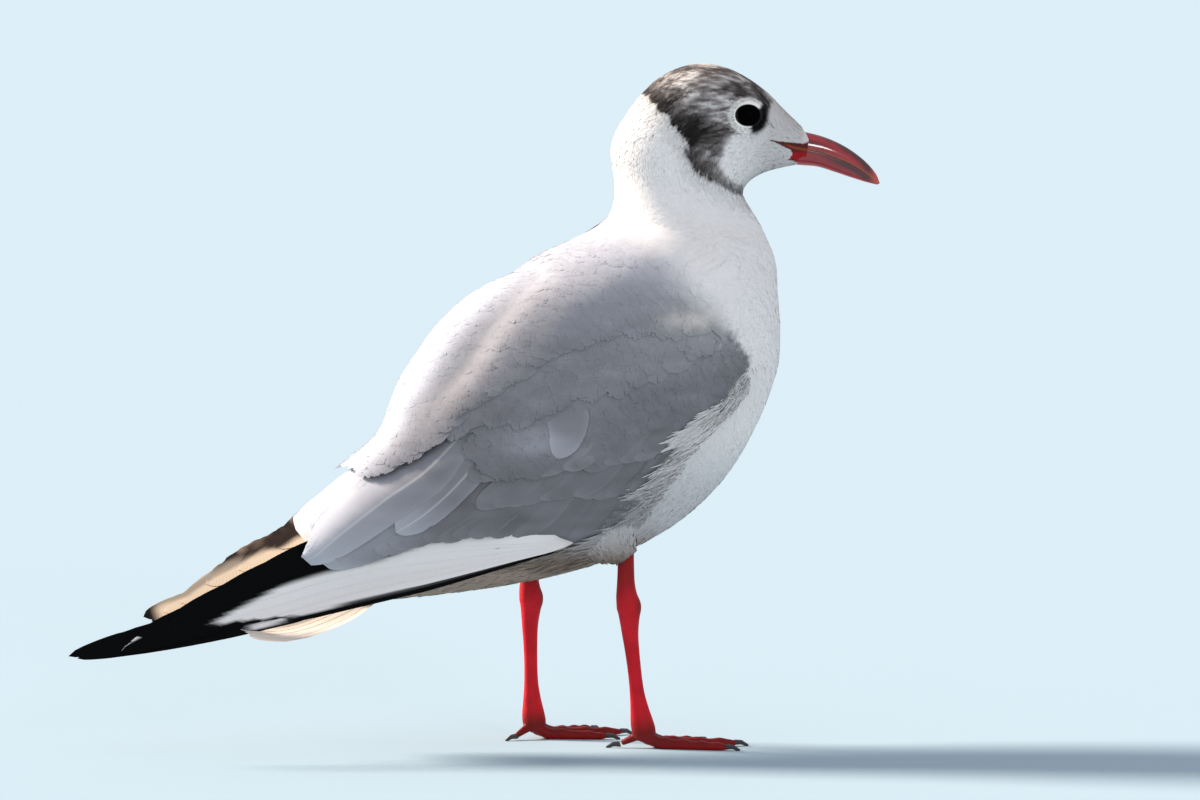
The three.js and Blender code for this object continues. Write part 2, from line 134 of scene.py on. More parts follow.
SECTIONS = np.array([
    [91.5, 228.2, 89.5, 217.2, 4.6],
    [82.3, 237.2, 81.0, 215.6, 8.2],
    [73.0, 246.3, 74.6, 213.8, 12.4],
    [60.0, 253.6, 69.6, 210.9, 15.2],
    [46.5, 254.8, 67.0, 207.6, 16.9],
    [33.5, 248.9, 66.6, 205.2, 17.5],
    [23.8, 238.0, 67.8, 203.0, 17.4],
    [16.2, 224.0, 70.4, 199.5, 18.0],
    [18.6, 206.2, 74.5, 192.5, 21.0],
    [12.4, 193.2, 79.5, 181.0, 30.0],
    [-12.0, 182.3, 81.5, 163.0, 39.5],
    [-33.0, 172.0, 81.0, 140.0, 45.0],
    [-50.0, 158.0, 69.0, 110.0, 46.0],
    [-64.0, 135.0, 45.5, 84.8, 43.5],
    [-75.0, 116.0, 10.0, 68.0, 36.0],
    [-88.5, 102.5, -40.0, 63.0, 26.5],
    [-96.5, 89.0, -75.0, 60.0, 17.0],
    [-101.0, 79.0, -92.0, 61.5, 8.0],
])
ROWS, COLUMNS = 300, 144
# The head is turned to its right about a vertical through the neck. The turn fades out between two shares of
# the sections.
HEAD_TURN = math.radians(-14)
HEAD_PIVOT_X = 38.0
TURN_STARTS, TURN_ENDS = 6 / 17, 9.5 / 17
EYE = {"x": 67.4, "z": 235.6, "out": 9.7}
EYE_RADIUS, EYE_OPENING, EYE_FILL = 6.0, 5.0, 9.0
FEATHERED_NODES = ("scapulars_{}", "wing_{}_coverts", "wing_{}_tertials")


def turn_head(points, angle):
    """Points turned about the vertical through the neck; angle may be a number per point."""
    p = np.array(points, float)
    x, y = p[..., 0] - HEAD_PIVOT_X, p[..., 1].copy()
    p[..., 0] = HEAD_PIVOT_X + x * np.cos(angle) - y * np.sin(angle)
    p[..., 1] = x * np.sin(angle) + y * np.cos(angle)
    return p


def turn_at(t):
    return HEAD_TURN * (1 - smooth(TURN_STARTS, TURN_ENDS, t))


def flesh_nodes(*of_side):
    """The CAD nodes of the head, neck and trunk, and then each side's."""
    return ["head", "neck", "trunk"] + [name.format(side) for side in ("left", "right") for name in of_side]


def solids_tree(names):
    """A search tree over the named CAD nodes, in the bird's frame."""
    corners, faces, count = [], [], 0
    for name in names:
        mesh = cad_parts[name].data
        corners.append(from_world([v.co for v in mesh.vertices]))
        faces += [[i + count for i in polygon.vertices] for polygon in mesh.polygons]
        count += len(mesh.vertices)
    return BVHTree.FromPolygons(np.concatenate(corners).tolist(), faces)


def fill_masked(values, mask, rounds=300):
    """Masked cells relaxed to a smooth patch between their neighbours."""
    out = values.copy()
    for _ in range(rounds):
        near = (np.roll(out, 1, 1) + np.roll(out, -1, 1)) / 4
        up, down = np.vstack([out[:1], out[:-1]]), np.vstack([out[1:], out[-1:]])
        out[mask] = (near + (up + down) / 4)[mask]
    return out


def blur(values, rows, columns):
    """A grid blurred by so many rows and columns; columns wrap round."""
    for axis, sigma in ((0, rows), (1, columns)):
        reach = int(3 * sigma) + 1
        weights = np.exp(-0.5 * (np.arange(-reach, reach + 1) / sigma) ** 2)
        weights /= weights.sum()
        if axis:
            values = sum(w * np.roll(values, i - reach, 1) for i, w in enumerate(weights))
        else:
            padded = np.concatenate([values[:1].repeat(reach, 0), values, values[-1:].repeat(reach, 0)])
            values = sum(w * padded[i:i + len(values)] for i, w in enumerate(weights))
    return values


def line_distance(points, line):
    """Distance of side-view points from a line of points."""
    best = np.full(len(points), 1e9)
    for a, b in zip(line[:-1], line[1:]):
        d = b - a
        share = np.clip(((points - a) @ d) / (d @ d), 0, 1)
        best = np.minimum(best, np.linalg.norm(points - a - share[:, None] * d, axis=1))
    return best


def inside(points, outline):
    """Which side-view points lie inside a closed outline."""
    x, z = points[:, 0], points[:, 1]
    odd = np.zeros(len(points), bool)
    for (x0, z0), (x1, z1) in zip(outline, np.roll(outline, -1, 0)):
        if z0 != z1:
            odd ^= ((z0 > z) != (z1 > z)) & (x < (x1 - x0) * (z - z0) / (z1 - z0) + x0)
    return odd


class Surface:
    """A closed tube of points as a grid: rows run along the feathers' lie, columns go round."""

    def __init__(self, points):
        self.points = points
        rows, columns = points.shape[:2]
        self.rows, self.columns = rows, columns
        self.share = np.linspace(0, 1, rows)
        self.angle = np.linspace(-math.pi, math.pi, columns, endpoint=False)
        self.along = np.gradient(points, 1 / (rows - 1), axis=0)
        self.around = (np.roll(points, -1, 1) - np.roll(points, 1, 1)) / (4 * math.pi / columns)
        self.normals = unit(np.cross(self.around, self.along))

    def sample(self, grid, t, a):
        """A grid's values at shares t and angles a, between its points."""
        x = np.clip(t, 0, 1) * (self.rows - 1)
        y = (a + math.pi) / (2 * math.pi) * self.columns
        i = np.minimum(x.astype(int), self.rows - 2)
        j = np.floor(y).astype(int)
        f, g = x - i, y - j
        if grid.ndim == 3:
            f, g = f[..., None], g[..., None]
        j0, j1 = j % self.columns, (j + 1) % self.columns
        return mix(mix(grid[i, j0], grid[i, j1], g), mix(grid[i + 1, j0], grid[i + 1, j1], g), f)

    def skin_colours(self, points):
        return self.colours(np.repeat(self.share, self.columns), np.tile(self.angle, self.rows), points)


BACK_GROOVE = np.array([
    [-17, 178], [-27, 171], [-38, 160], [-47.5, 146], [-57, 134], [-67, 122.5], [-82, 112], [-98, 100.5],
])


def back_groove(view):
    """How deep the back sinks, in side view, between the scapulars of the two wings."""
    edge = np.concatenate([BACK_GROOVE, [[-140, 60], [60, 60], [60, 178]]])
    beside = line_distance(view, BACK_GROOVE) * np.where(inside(view, edge), 1, -1)
    deep = np.exp(-((beside / 2.8) ** 2)) * 5.0 - 1.4 * np.exp(-(((beside - 6.5) / 4) ** 2))
    return deep * mix(1.0, 0.2, smooth(-52, -66, view[:, 0])) * smooth(-104, -96, view[:, 0])


def turn_folds(points):
    """Points in axes that run along the mantle feathers' lie, across the body, and square to both."""
    slope = math.radians(42)
    x, y, z = points[..., 0], points[..., 1], points[..., 2]
    return np.stack([x * math.cos(slope) + z * math.sin(slope), y, z * math.cos(slope) - x * math.sin(slope)], -1)


class Envelope(Surface):
    """The body's outer surface, from the bill's root to the end of the back."""

    def __init__(self):
        share = np.linspace(0, 1, ROWS)
        lines, turn, flat = spline(SECTIONS, share), turn_at(share), np.zeros(ROWS)
        high = turn_head(np.stack([lines[:, 0], flat, lines[:, 1]], 1), turn)
        low = turn_head(np.stack([lines[:, 2], flat, lines[:, 3]], 1), turn)
        side = np.stack([-np.sin(turn), np.cos(turn), flat], 1)
        self.middle, up = (high + low) / 2, unit(high - low)
        tall, wide = np.linalg.norm(high - low, axis=1) / 2, lines[:, 4]
        angle = np.linspace(-math.pi, math.pi, COLUMNS, endpoint=False)
        rays = up[:, None] * np.cos(angle)[:, None] + side[:, None] * np.sin(angle)[:, None]
        guide = np.hypot(tall[:, None] * np.cos(angle), wide[:, None] * np.sin(angle))
        reach = self.cast(rays, guide, guide + mix(4.0, 25.0, smooth(0.5, 0.65, share))[:, None])
        super().__init__(self.middle[:, None] + rays * self.shaped(rays, reach, share)[..., None])

    def cast(self, rays, guide, start):
        """How far the solids reach along each ray, seen from outside; where they don't, as far as the guide."""
        tree, out = solids_tree(flesh_nodes(*FEATHERED_NODES)), guide.copy()
        for i in range(ROWS):
            for j in range(COLUMNS):
                ray, far, least = rays[i, j], start[i, j], 0.6 * guide[i, j]
                while far > least:
                    place, normal, _, gap = tree.ray_cast((self.middle[i] + ray * far).tolist(), (-ray).tolist())
                    far = far - gap if place is not None else 0
                    if far > least and np.dot(normal, ray) > 0:
                        out[i, j] = far
                        break
                    far -= 0.01
        return out

    def shaped(self, rays, out, share):
        """Reaches with the solids' joints and the eye sockets closed, the back's groove let in, and soft folds."""
        shifts = [np.roll(out, (down, over), (0, 1)) for down in range(-2, 3) for over in range(-2, 3)]
        out[2:-2] = np.median(shifts, axis=0)[2:-2]
        points = self.middle[:, None] + rays * out[..., None]
        sockets = [np.linalg.norm(points - eye_centre(side), axis=-1) < EYE_FILL for side in (RIGHT, LEFT)]
        out = fill_masked(out, sockets[0] | sockets[1])
        out = out - back_groove(points[..., [0, 2]].reshape(-1, 2)).reshape(out.shape)
        places = turn_folds(points)
        folds = noise(places, [26, 14, 9], 51) + 0.5 * noise(places, [13, 8, 5], 52) - 0.75
        out = out + 2.2 * folds * (smooth(0.5, 0.6, share) * smooth(0.92, 0.8, share))[:, None]
        return blur(out, 2.5, 1.8)

    def colours(self, t, a, points):
        return markings(t, a, points)


def eye_centre(side):
    return turn_head([EYE["x"], side * EYE["out"], EYE["z"]], HEAD_TURN)


envelope = Envelope()

# ------------------------------------------------------------------ markings, shared by the skin and the coat
# Outlines are in the head's own side view, before it is turned.

WHITE, WARM_WHITE = paint(236, 232, 230), paint(242, 232, 222)
RING_WHITE = paint(250, 246, 240)
GREY, PALE_GREY = paint(119, 117, 121), paint(196, 198, 208)
HOOD_DARK, HOOD_MID, BLACK = paint(24, 20, 19), paint(112, 104, 102), paint(7, 7, 8)
HOOD_REAR = np.array([
    [46, 256], [34, 251], [28, 243.5], [29.7, 241.4], [34.6, 236.5], [37.6, 234.3], [39.5, 230.5], [43.3, 227.1],
    [44.8, 221.9], [46.6, 218.1], [51.2, 214.2], [57.2, 211.2], [63.9, 207.6], [66.6, 206.0],
])
HOOD_FRONT = np.array([
    [66.6, 206.0], [65.8, 209.4], [61.0, 212.6], [58.4, 216.5], [59.8, 223.0], [62.8, 227.5], [69.2, 230.0],
    [74.8, 232.6], [77.5, 236.5], [78.4, 241.0], [75.5, 246.4], [70.0, 251.2], [60, 256], [46, 256],
])
GAPE_WEDGE = np.array([[75.4, 226.6], [79, 225.9], [84.4, 225.3], [88.5, 224.9], [91.5, 225.6], [95, 226], [95, 217],
                       [90, 216.9], [83.4, 218.8], [84.6, 220.8], [84.2, 222.4], [80.5, 224.2]])
GAPE = paint(84, 28, 26)
BILL_BRIGHT, BILL_DEEP, BILL_BLACK = paint(172, 8, 26), paint(92, 6, 8), paint(34, 8, 12)
BILL_TIP, BILL_EDGE = paint(204, 74, 58), paint(136, 62, 36)
# Places where the hood is darker or paler: [x, z], reach along each, and by how much. The first two are the ear
# spot and the patch on the nape.
HOOD_SPOTS = [
    ([45.6, 231.2], [5.2, 3.8], 0.80), ([34.0, 240.4], [4.8, 3.2], 0.65), ([75.5, 240], [2.2, 3.2], 0.25),
    ([69, 245], [5, 4], 0.10), ([56, 222], [6, 7], 0.12), ([52, 246], [7, 4], -0.14), ([58, 233], [7, 5], -0.06),
]


def spot(points, centre, reach):
    d = (points - np.asarray(centre)) / np.asarray(reach)
    return np.exp(-0.5 * (d**2).sum(1))


def hood(local):
    """How dark the head's feathers are, 0 to 1, at points in the head's own frame."""
    jitter = noise(local, 1.8, 3)[:, None] - 0.5
    side = local[:, [0, 2]] + jitter * np.array([1.6, 1.2])
    outline = np.concatenate([HOOD_REAR, HOOD_FRONT[1:-1]])
    within = inside(side, outline)
    rear, front = line_distance(side, HOOD_REAR), line_distance(side, HOOD_FRONT)
    mask = np.where(within, smooth(0, 0.8, rear) * smooth(0, 3.2, front), 0.0)
    streak = noise(local, [4.2, 1.5, 1.2], 5) * 0.5 + noise(local, [2.2, 0.8, 0.7], 6) * 0.5
    blotch = noise(local, 5.0, 8)
    dark = 0.52 + 1.1 * (streak - 0.5) + 0.40 * (blotch - 0.5)
    dark += 0.32 * np.exp(-((rear / 2.6) ** 2)) + sum(much * spot(side, *place) for *place, much in HOOD_SPOTS)
    # A little paler along the top of the crown: painted sunlight.
    painted_crown_light = smooth(-0.5, 3.0, local[:, 2] - np.interp(local[:, 0], [27, 41, 50, 58], [241.5, 247, 251, 254]))
    dark -= 0.06 * painted_crown_light * smooth(60, 50, local[:, 0]) * (0.6 + 0.8 * noise(local, 2.0, 9))
    hem = np.exp(-(((rear - 0.7) / 1.1) ** 2)) * smooth(227, 219, local[:, 2]) * smooth(204, 206.5, local[:, 2])
    return np.maximum(np.clip(dark, 0, 1) * mask, 0.98 * hem)


def eye_marks(local):
    """The white crescents round the eye, and the black smudge in front of and below it."""
    x, z = local[:, 0] - EYE["x"], local[:, 2] - EYE["z"]
    far = np.hypot(x / 1.12, z)
    heading = np.degrees(np.arctan2(z, x))
    ring = smooth(7.2, 6.3, far) * smooth(4.8, 5.2, far) * smooth(50, 62, np.abs(heading + 20))
    smudge = smooth(8.3, 6.4, far + 0.012 * np.abs(heading + 35)) * smooth(66, 48, np.abs(heading + 24))
    return ring, np.maximum(smudge, smooth(5.3, 5.0, far))


# Outlines on the wing and mantle, in side view: the grey area, where the wing's large feathers and the closed
# wing's white wedge lie, where the tips of the upper and lower scapulars and the coverts fall, the mantle's front
# edge, and the edge of the flank's feathers over the wing.
GREY_REGION = np.array([
    [61, 144], [53, 134.5], [35, 119.5], [23, 101.5], [15, 90], [3.7, 77.5], [-15, 78], [-52, 80], [-78, 76],
    [-106, 69], [-128, 50], [-128, 120], [-60, 160], [-20, 200], [15, 200], [24.7, 190.5], [37, 172], [47.2, 161],
    [54.5, 151.5],
])
ROW_REGION = np.array([
    [38, 123], [40, 127], [25, 118], [5, 111.5], [-17, 108.5], [-39, 106], [-52, 111], [-60, 116], [-67, 120],
    [-98, 99], [-115, 76], [-108, 69], [-78, 75], [-52, 79], [-15, 77], [3, 76.5], [15, 89], [22, 100], [33, 116],
])
WEDGE_REGION = np.array([
    [-6, 84], [-60, 86], [-106, 76], [-130, 66], [-130, 40], [-105, 53], [-60, 64], [-10, 77],
])
UPPER_SCAPULARS = np.array([
    [-65, 118.5], [-45, 134], [-28, 145], [-12.8, 153], [12.7, 156.5], [37, 154], [52, 157], [50, 176], [18, 195],
    [-10, 205], [-140, 205], [-87, 109], [-85.5, 102.5], [-83, 103], [-74, 108.5],
])
LOWER_SCAPULARS = np.array([
    [-67, 122], [-55, 120.5], [-36, 122.5], [-23, 128], [-8.6, 131.5], [10, 137.5], [30, 145], [50, 154.5], [54, 170],
    [-12, 172], [-50, 150],
])
MANTLE_FRONT = np.array([[56, 158], [52, 176], [20, 196], [-10, 206]])
FLANK_EDGE = np.array([[54, 137], [52, 134.5], [34.5, 119.5], [22.5, 101.5], [15, 90], [3.7, 77.5], [-14, 78]])
COVERTS = np.array([
    [-52, 112], [-39, 103], [-17, 105.5], [5, 109], [25, 116], [37, 120], [53, 134.5], [61, 144], [56, 157],
    [20, 152], [-12, 146], [-45, 130],
])


def depth_in(points, outline):
    """Distance of side-view points from an outline's edge, positive inside it."""
    edge = line_distance(points, np.concatenate([outline, outline[:1]]))
    return np.where(inside(points, outline), edge, -edge)


def grey_share(points):
    """How grey the body is at points: a ragged edge at the wing, a soft one at the mantle."""
    view = points[:, [0, 2]]
    ragged = (noise(points, [3.5, 3.5, 1.6], 12) - 0.5) * 2.4
    soft = mix(1.0, 13.0, smooth(150, 172, view[:, 1]))
    return smooth(-soft * 0.5, soft, depth_in(view, GREY_REGION) + ragged)


def grey_tone(points):
    """Pearl grey, palest on the mantle, darkest low on the wing, partly as painted light and shade, and paler beyond
    the back's groove as painted sunlight.
    """
    x, y, z = points[..., 0], points[..., 1], points[..., 2]
    # Paler upwards: partly the mantle's own paler grey, partly painted sky light above and shade below.
    height = np.interp(z, [70, 108, 130, 150, 168, 184], [-0.04, -0.02, 0.03, 0.12, 0.28, 0.68])
    streaks = noise(points, [9, 5, 3.0], 13) * 0.5 + noise(points, [20, 14, 9], 14) * 0.5 - 0.5
    rear = 0.35 * smooth(-50, -95, x)
    front = -0.10 * smooth(40, 58, x) * smooth(156, 146, z)
    # Paler on the back's far side, beyond the groove: painted sunlight.
    ridge = 0.7 * smooth(-22, -8, y) * smooth(-10, -40, x)
    folded = 0.30 * np.exp(-(((x + 28) / 13) ** 2) - ((z - 117) / 6) ** 2)
    return blend(GREY, PALE_GREY, np.clip(height + rear + front + ridge + folded + 0.28 * streaks, -0.25, 1.1))


def belly_tone(points):
    """The belly's white, greyed and browned towards its underside as painted shade."""
    # Browner towards the underside: painted shade.
    painted_under_shade = smooth(86, 72, points[..., 2]) * smooth(45, 25, points[..., 0])
    return blend(paint(206, 203, 204), paint(160, 142, 128), painted_under_shade)


def markings(t, a, points):
    """The coat's colour at points of the envelope."""
    local = turn_head(points, -turn_at(t))
    side, view = local[:, [0, 2]], points[:, [0, 2]]
    on_head, on_body = t < 0.45, t > 0.45
    out = np.repeat(WHITE[None], len(points), 0)
    # Warmer white towards the top of the neck and body: painted warm light from above.
    out = blend(out, WARM_WHITE, 0.5 * smooth(0.9, 0.2, np.abs(a)))
    # Greyer and browner low on the body: painted shade.
    out = blend(out, belly_tone(points), smooth(120, 92, points[:, 2]) * smooth(0.5, 0.6, t))
    # Greyer white at the lore and throat: painted shade.
    painted_face_shade = 0.24 * smooth(62, 78, local[:, 0]) + 0.26 * smooth(216, 204, local[:, 2]) * smooth(40, 55, local[:, 0])
    out = out * (1 - painted_face_shade * smooth(0.42, 0.34, t))[:, None]
    # Darker along the flank's edge under the wing: painted shade.
    hollow = 0.18 * np.exp(-((line_distance(view, FLANK_EDGE) / 9) ** 2)) * smooth(0.5, 0.6, t)
    out = out * (1 - hollow)[:, None]
    dark, grey = np.zeros(len(points)), np.zeros(len(points))
    dark[on_head] = hood(local[on_head])
    out = blend(out, blend(HOOD_MID, HOOD_DARK, smooth(0.45, 1.0, dark)), smooth(0.02, 0.62, dark))
    ring, smudge = eye_marks(local)
    out = blend(out, BLACK, smudge * (t < 0.3))
    out = blend(out, RING_WHITE, ring * (t < 0.3))
    grey[on_body] = grey_share(points[on_body])
    out = blend(out, grey_tone(points), grey)
    tuft = 0.5 * spot(view, [34, 160.5], [8, 2.6]) * on_body * (0.5 + noise(points, [2, 2, 5], 15))
    out = blend(out, WARM_WHITE, tuft.clip(0, 1))
    red = blend(GAPE, BILL_BRIGHT, smooth(222.4, 221.0, local[:, 2]) * 0.7)
    edge = np.abs(local[:, 2] - np.interp(local[:, 0], [76, 86, 94], [226.2, 223.2, 221.8]))
    red = blend(red, BILL_EDGE, smooth(0.7, 0.2, edge) * smooth(80, 84, local[:, 0]))
    return np.where((inside(side, GAPE_WEDGE) & (t < 0.2))[:, None], red, out)


# ------------------------------------------------------------------ finishes

def material(name, **settings):
    """A Principled material; sockets are given by name with underscores."""
    m = bpy.data.materials.new(name)
    m.use_nodes = True
    shader = m.node_tree.nodes["Principled BSDF"]
    for key, value in settings.items():
        shader.inputs[key.replace("_", " ")].default_value = value
    return m, shader


def coloured(name, **settings):
    """A material that takes its colour from the mesh's own colours."""
    m, shader = material(name, **settings)
    colour = m.node_tree.nodes.new("ShaderNodeVertexColor")
    colour.layer_name = "Col"
    m.node_tree.links.new(colour.outputs["Color"], shader.inputs["Base Color"])
    return m


def barbed(name, **settings):
    """A feather finish: mesh colours with fine slanted barbs as bump, along the vane."""
    m = coloured(name, **settings)
    tree = m.node_tree
    uv = tree.nodes.new("ShaderNodeUVMap")
    uv.uv_map = "Vane"
    wave = tree.nodes.new("ShaderNodeTexWave")
    wave.bands_direction = "Y"
    wave.inputs["Scale"].default_value = 2.2
    wave.inputs["Distortion"].default_value = 1.5
    wave.inputs["Detail"].default_value = 2.0
    bump = tree.nodes.new("ShaderNodeBump")
    bump.inputs["Strength"].default_value = 0.12
    bump.inputs["Distance"].default_value = 0.0002
    tree.links.new(uv.outputs["UV"], wave.inputs["Vector"])
    tree.links.new(wave.outputs["Fac"], bump.inputs["Height"])
    tree.links.new(bump.outputs["Normal"], tree.nodes["Principled BSDF"].inputs["Normal"])
    return m


# ------------------------------------------------------------------ meshes from arrays

def mesh_object(name, points, faces, normals=None, colours=None, maps=None, finish=None):
    """A mesh in world metres from points in the bird's frame, and faces that all have as many corners."""
    mesh = bpy.data.meshes.new(name)
    points, faces = np.asarray(points, float), np.asarray(faces, np.int32)
    count, corners = faces.shape
    mesh.vertices.add(len(points))
    mesh.vertices.foreach_set("co", to_world(points).astype(np.float32).ravel())
    mesh.loops.add(count * corners)
    mesh.loops.foreach_set("vertex_index", faces.ravel())
    mesh.polygons.add(count)
    mesh.polygons.foreach_set("loop_start", np.arange(0, count * corners, corners, dtype=np.int32))
    mesh.polygons.foreach_set("loop_total", np.full(count, corners, np.int32))
    mesh.polygons.foreach_set("use_smooth", np.ones(count, bool))
    mesh.update(calc_edges=True)
    if colours is not None:
        layer = mesh.color_attributes.new("Col", "FLOAT_COLOR", "POINT")
        rgba = np.concatenate([colours, np.ones((len(points), 1))], 1)
        layer.data.foreach_set("color", rgba.astype(np.float32).ravel())
    for key, values in (maps or {}).items():
        layer = mesh.uv_layers.new(name=key)
        layer.data.foreach_set("uv", np.asarray(values)[faces.ravel()].astype(np.float32).ravel())
    if normals is not None:
        mesh.normals_split_custom_set_from_vertices(np.asarray(normals, np.float32))
    if finish is not None:
        mesh.materials.append(finish)
    obj = bpy.data.objects.new(name, mesh)
    bpy.context.scene.collection.objects.link(obj)
    return obj


def grid_faces(rows, columns, closed):
    """Quads of a grid of rows by columns of points; closed joins the last column to the first."""
    i, j = np.meshgrid(np.arange(rows - 1), np.arange(columns if closed else columns - 1), indexing="ij")
    i, j = i.ravel(), j.ravel()
    k = (j + 1) % columns
    return np.stack([i * columns + j, i * columns + k, (i + 1) * columns + k, (i + 1) * columns + j], 1)


def triangles(quads):
    return np.concatenate([quads[:, [0, 1, 2]], quads[:, [0, 2, 3]]])


def capped_tube(rows, columns):
    """Triangles of a tube of points; two more points after the grid's own close its first and last row."""
    j = np.arange(columns)
    k = (j + 1) % columns
    first, last, base = np.full(columns, rows * columns), np.full(columns, rows * columns + 1), (rows - 1) * columns
    ends = [np.stack([k, j, first], 1), np.stack([base + j, base + k, last], 1)]
    return np.concatenate([triangles(grid_faces(rows, columns, True))] + ends)


# ------------------------------------------------------------------ skin

def coat_depth(t):
    """How far the skin lies inside the solids' surface."""
    return 0.6 + 0.7 * smooth(0.05, 0.25, t) + 1.7 * smooth(0.35, 0.6, t) - 1.0 * smooth(0.9, 1.0, t)


def shell(surface, depth):
    """A surface moved inwards, with closed ends: points, triangles and colours. Depth may be a number per row."""
    inset = surface.points - surface.normals * np.broadcast_to(depth, surface.rows)[:, None, None]
    points = inset.reshape(-1, 3)
    colours = surface.skin_colours(points)
    points = np.concatenate([points, [inset[0].mean(0), inset[-1].mean(0)]])
    return points, capped_tube(surface.rows, surface.columns), np.concatenate([colours, colours[:1], colours[-1:]])


# ------------------------------------------------------------------ contour feathers

def barb_pattern(barbs, sweep, fill, slack):
    """A vane as slanted barbs: its points as (share along, share across), faces, each point's barb, and how many
    barbs there are. Points on the shaft have barb -1."""
    u = np.linspace(0, 1, barbs + 1)
    theta = mix(-0.55, 1.0, u) * math.pi / 2
    along = np.where(theta < 0, 0.5 + 0.42 * np.sin(theta), 0.5 + 0.5 * np.sin(theta))
    across = np.cos(theta) ** 0.75
    along[-1], across[-1] = 1.0, 0.0
    root = np.maximum.accumulate(np.clip(along - sweep * across - slack * u, 0.0, 0.97))
    points = [(r, 0.0) for r in root]
    barb = [-1] * len(points)
    faces = []
    for side in (-1, 1):
        for k in range(barbs):
            n = len(points)
            for e in mix(k, k + 1, np.array([0.5 - fill / 2, 0.5 + fill / 2])):
                points.append((np.interp(e / barbs, u, along), side * np.interp(e / barbs, u, across)))
                barb.append(k + barbs * (side > 0))
            quad = [k, k + 1, n + 1, n]
            faces.append(quad if side > 0 else quad[::-1])
    return np.array(points), np.array(faces), np.array(barb), 2 * barbs


HEAD_BARBS = barb_pattern(3, 0.35, 0.75, 0.15)
BODY_BARBS = barb_pattern(9, 0.28, 0.92, 0.12)
LAID_BARBS = barb_pattern(11, 0.30, 0.99, 0.03)
TUFT_BARBS = barb_pattern(4, 0.5, 0.9, 0.05)
COAT_PIECE_LIMIT = 190000
# Every feather has its own patch of the bake map, at its root's place on the body.
BAKE_SPAN, BAKE_MARGIN, BAKE_PATCH = 0.99, 0.003, 0.0015


def lattice(surface, spacing, low, high, keep=None):
    """Staggered rows of places (t, a) on a surface, from row share low to high; spacing gives mm at a row share."""
    t, row, places = low, 0, []
    a = np.linspace(-math.pi, math.pi, 288, endpoint=False)
    while t < high:
        tt, gap = np.full(len(a), t), spacing(t)
        down = np.linalg.norm(surface.sample(surface.along, tt, a), axis=1)
        over = np.linalg.norm(surface.sample(surface.around, tt, a), axis=1)
        step = (0.8 * gap / down).min()
        total = np.concatenate([[0], np.cumsum(over / gap * (2 * math.pi / len(a)))])
        count = max(6, int(total[-1]))
        at = (np.arange(count) + 0.5 * (row % 2) + rng.uniform(-0.3, 0.3, count)) / count * total[-1]
        angle = np.interp(at % total[-1], total, np.linspace(-math.pi, math.pi, len(a) + 1))
        chance = np.interp(angle, a, step * down / (0.8 * gap), period=2 * math.pi)
        take = rng.uniform(0, 1, count) < chance
        places.append(np.stack([t + step * rng.uniform(-0.45, 0.45, count), angle], 1)[take])
        t += step
        row += 1
    places = np.concatenate(places)
    places = places[(places[:, 0] > 0.001) & (places[:, 0] < 0.999)]
    return places[keep(*places.T)] if keep else places


def lie(surface, t, a, yaw):
    """Per place: rates of (t, a) per mm along the feather and across it."""
    down, round_ = surface.sample(surface.along, t, a), surface.sample(surface.around, t, a)
    normal = unit(surface.sample(surface.normals, t, a))
    ahead = unit(down - (down * normal).sum(1)[:, None] * normal)
    across = unit(np.cross(normal, ahead))
    cos, sin = np.cos(yaw)[:, None], np.sin(yaw)[:, None]
    ahead, across = ahead * cos + across * sin, across * cos - ahead * sin

    def rates(way):
        dd, rr, dr = (down**2).sum(1), (round_**2).sum(1), (down * round_).sum(1)
        wd, wr = (way * down).sum(1), (way * round_).sum(1)
        det = dd * rr - dr**2
        return np.stack([(wd * rr - wr * dr) / det, (wr * dd - wd * dr) / det], 1)

    return rates(ahead), rates(across)


def march(surface, t, a, yaw, length, steps=6):
    """Stations of (t, a) from each place along its feather's lie, and the rates across it there."""
    ways, sides = [np.stack([t, a], 1)], []
    for _ in range(steps + 1):
        along, across = lie(surface, ways[-1][:, 0], ways[-1][:, 1], yaw)
        sides.append(across)
        ways.append(ways[-1] + along * (length / steps)[:, None])
    return np.stack(ways[:-1], 1), np.stack(sides, 1)


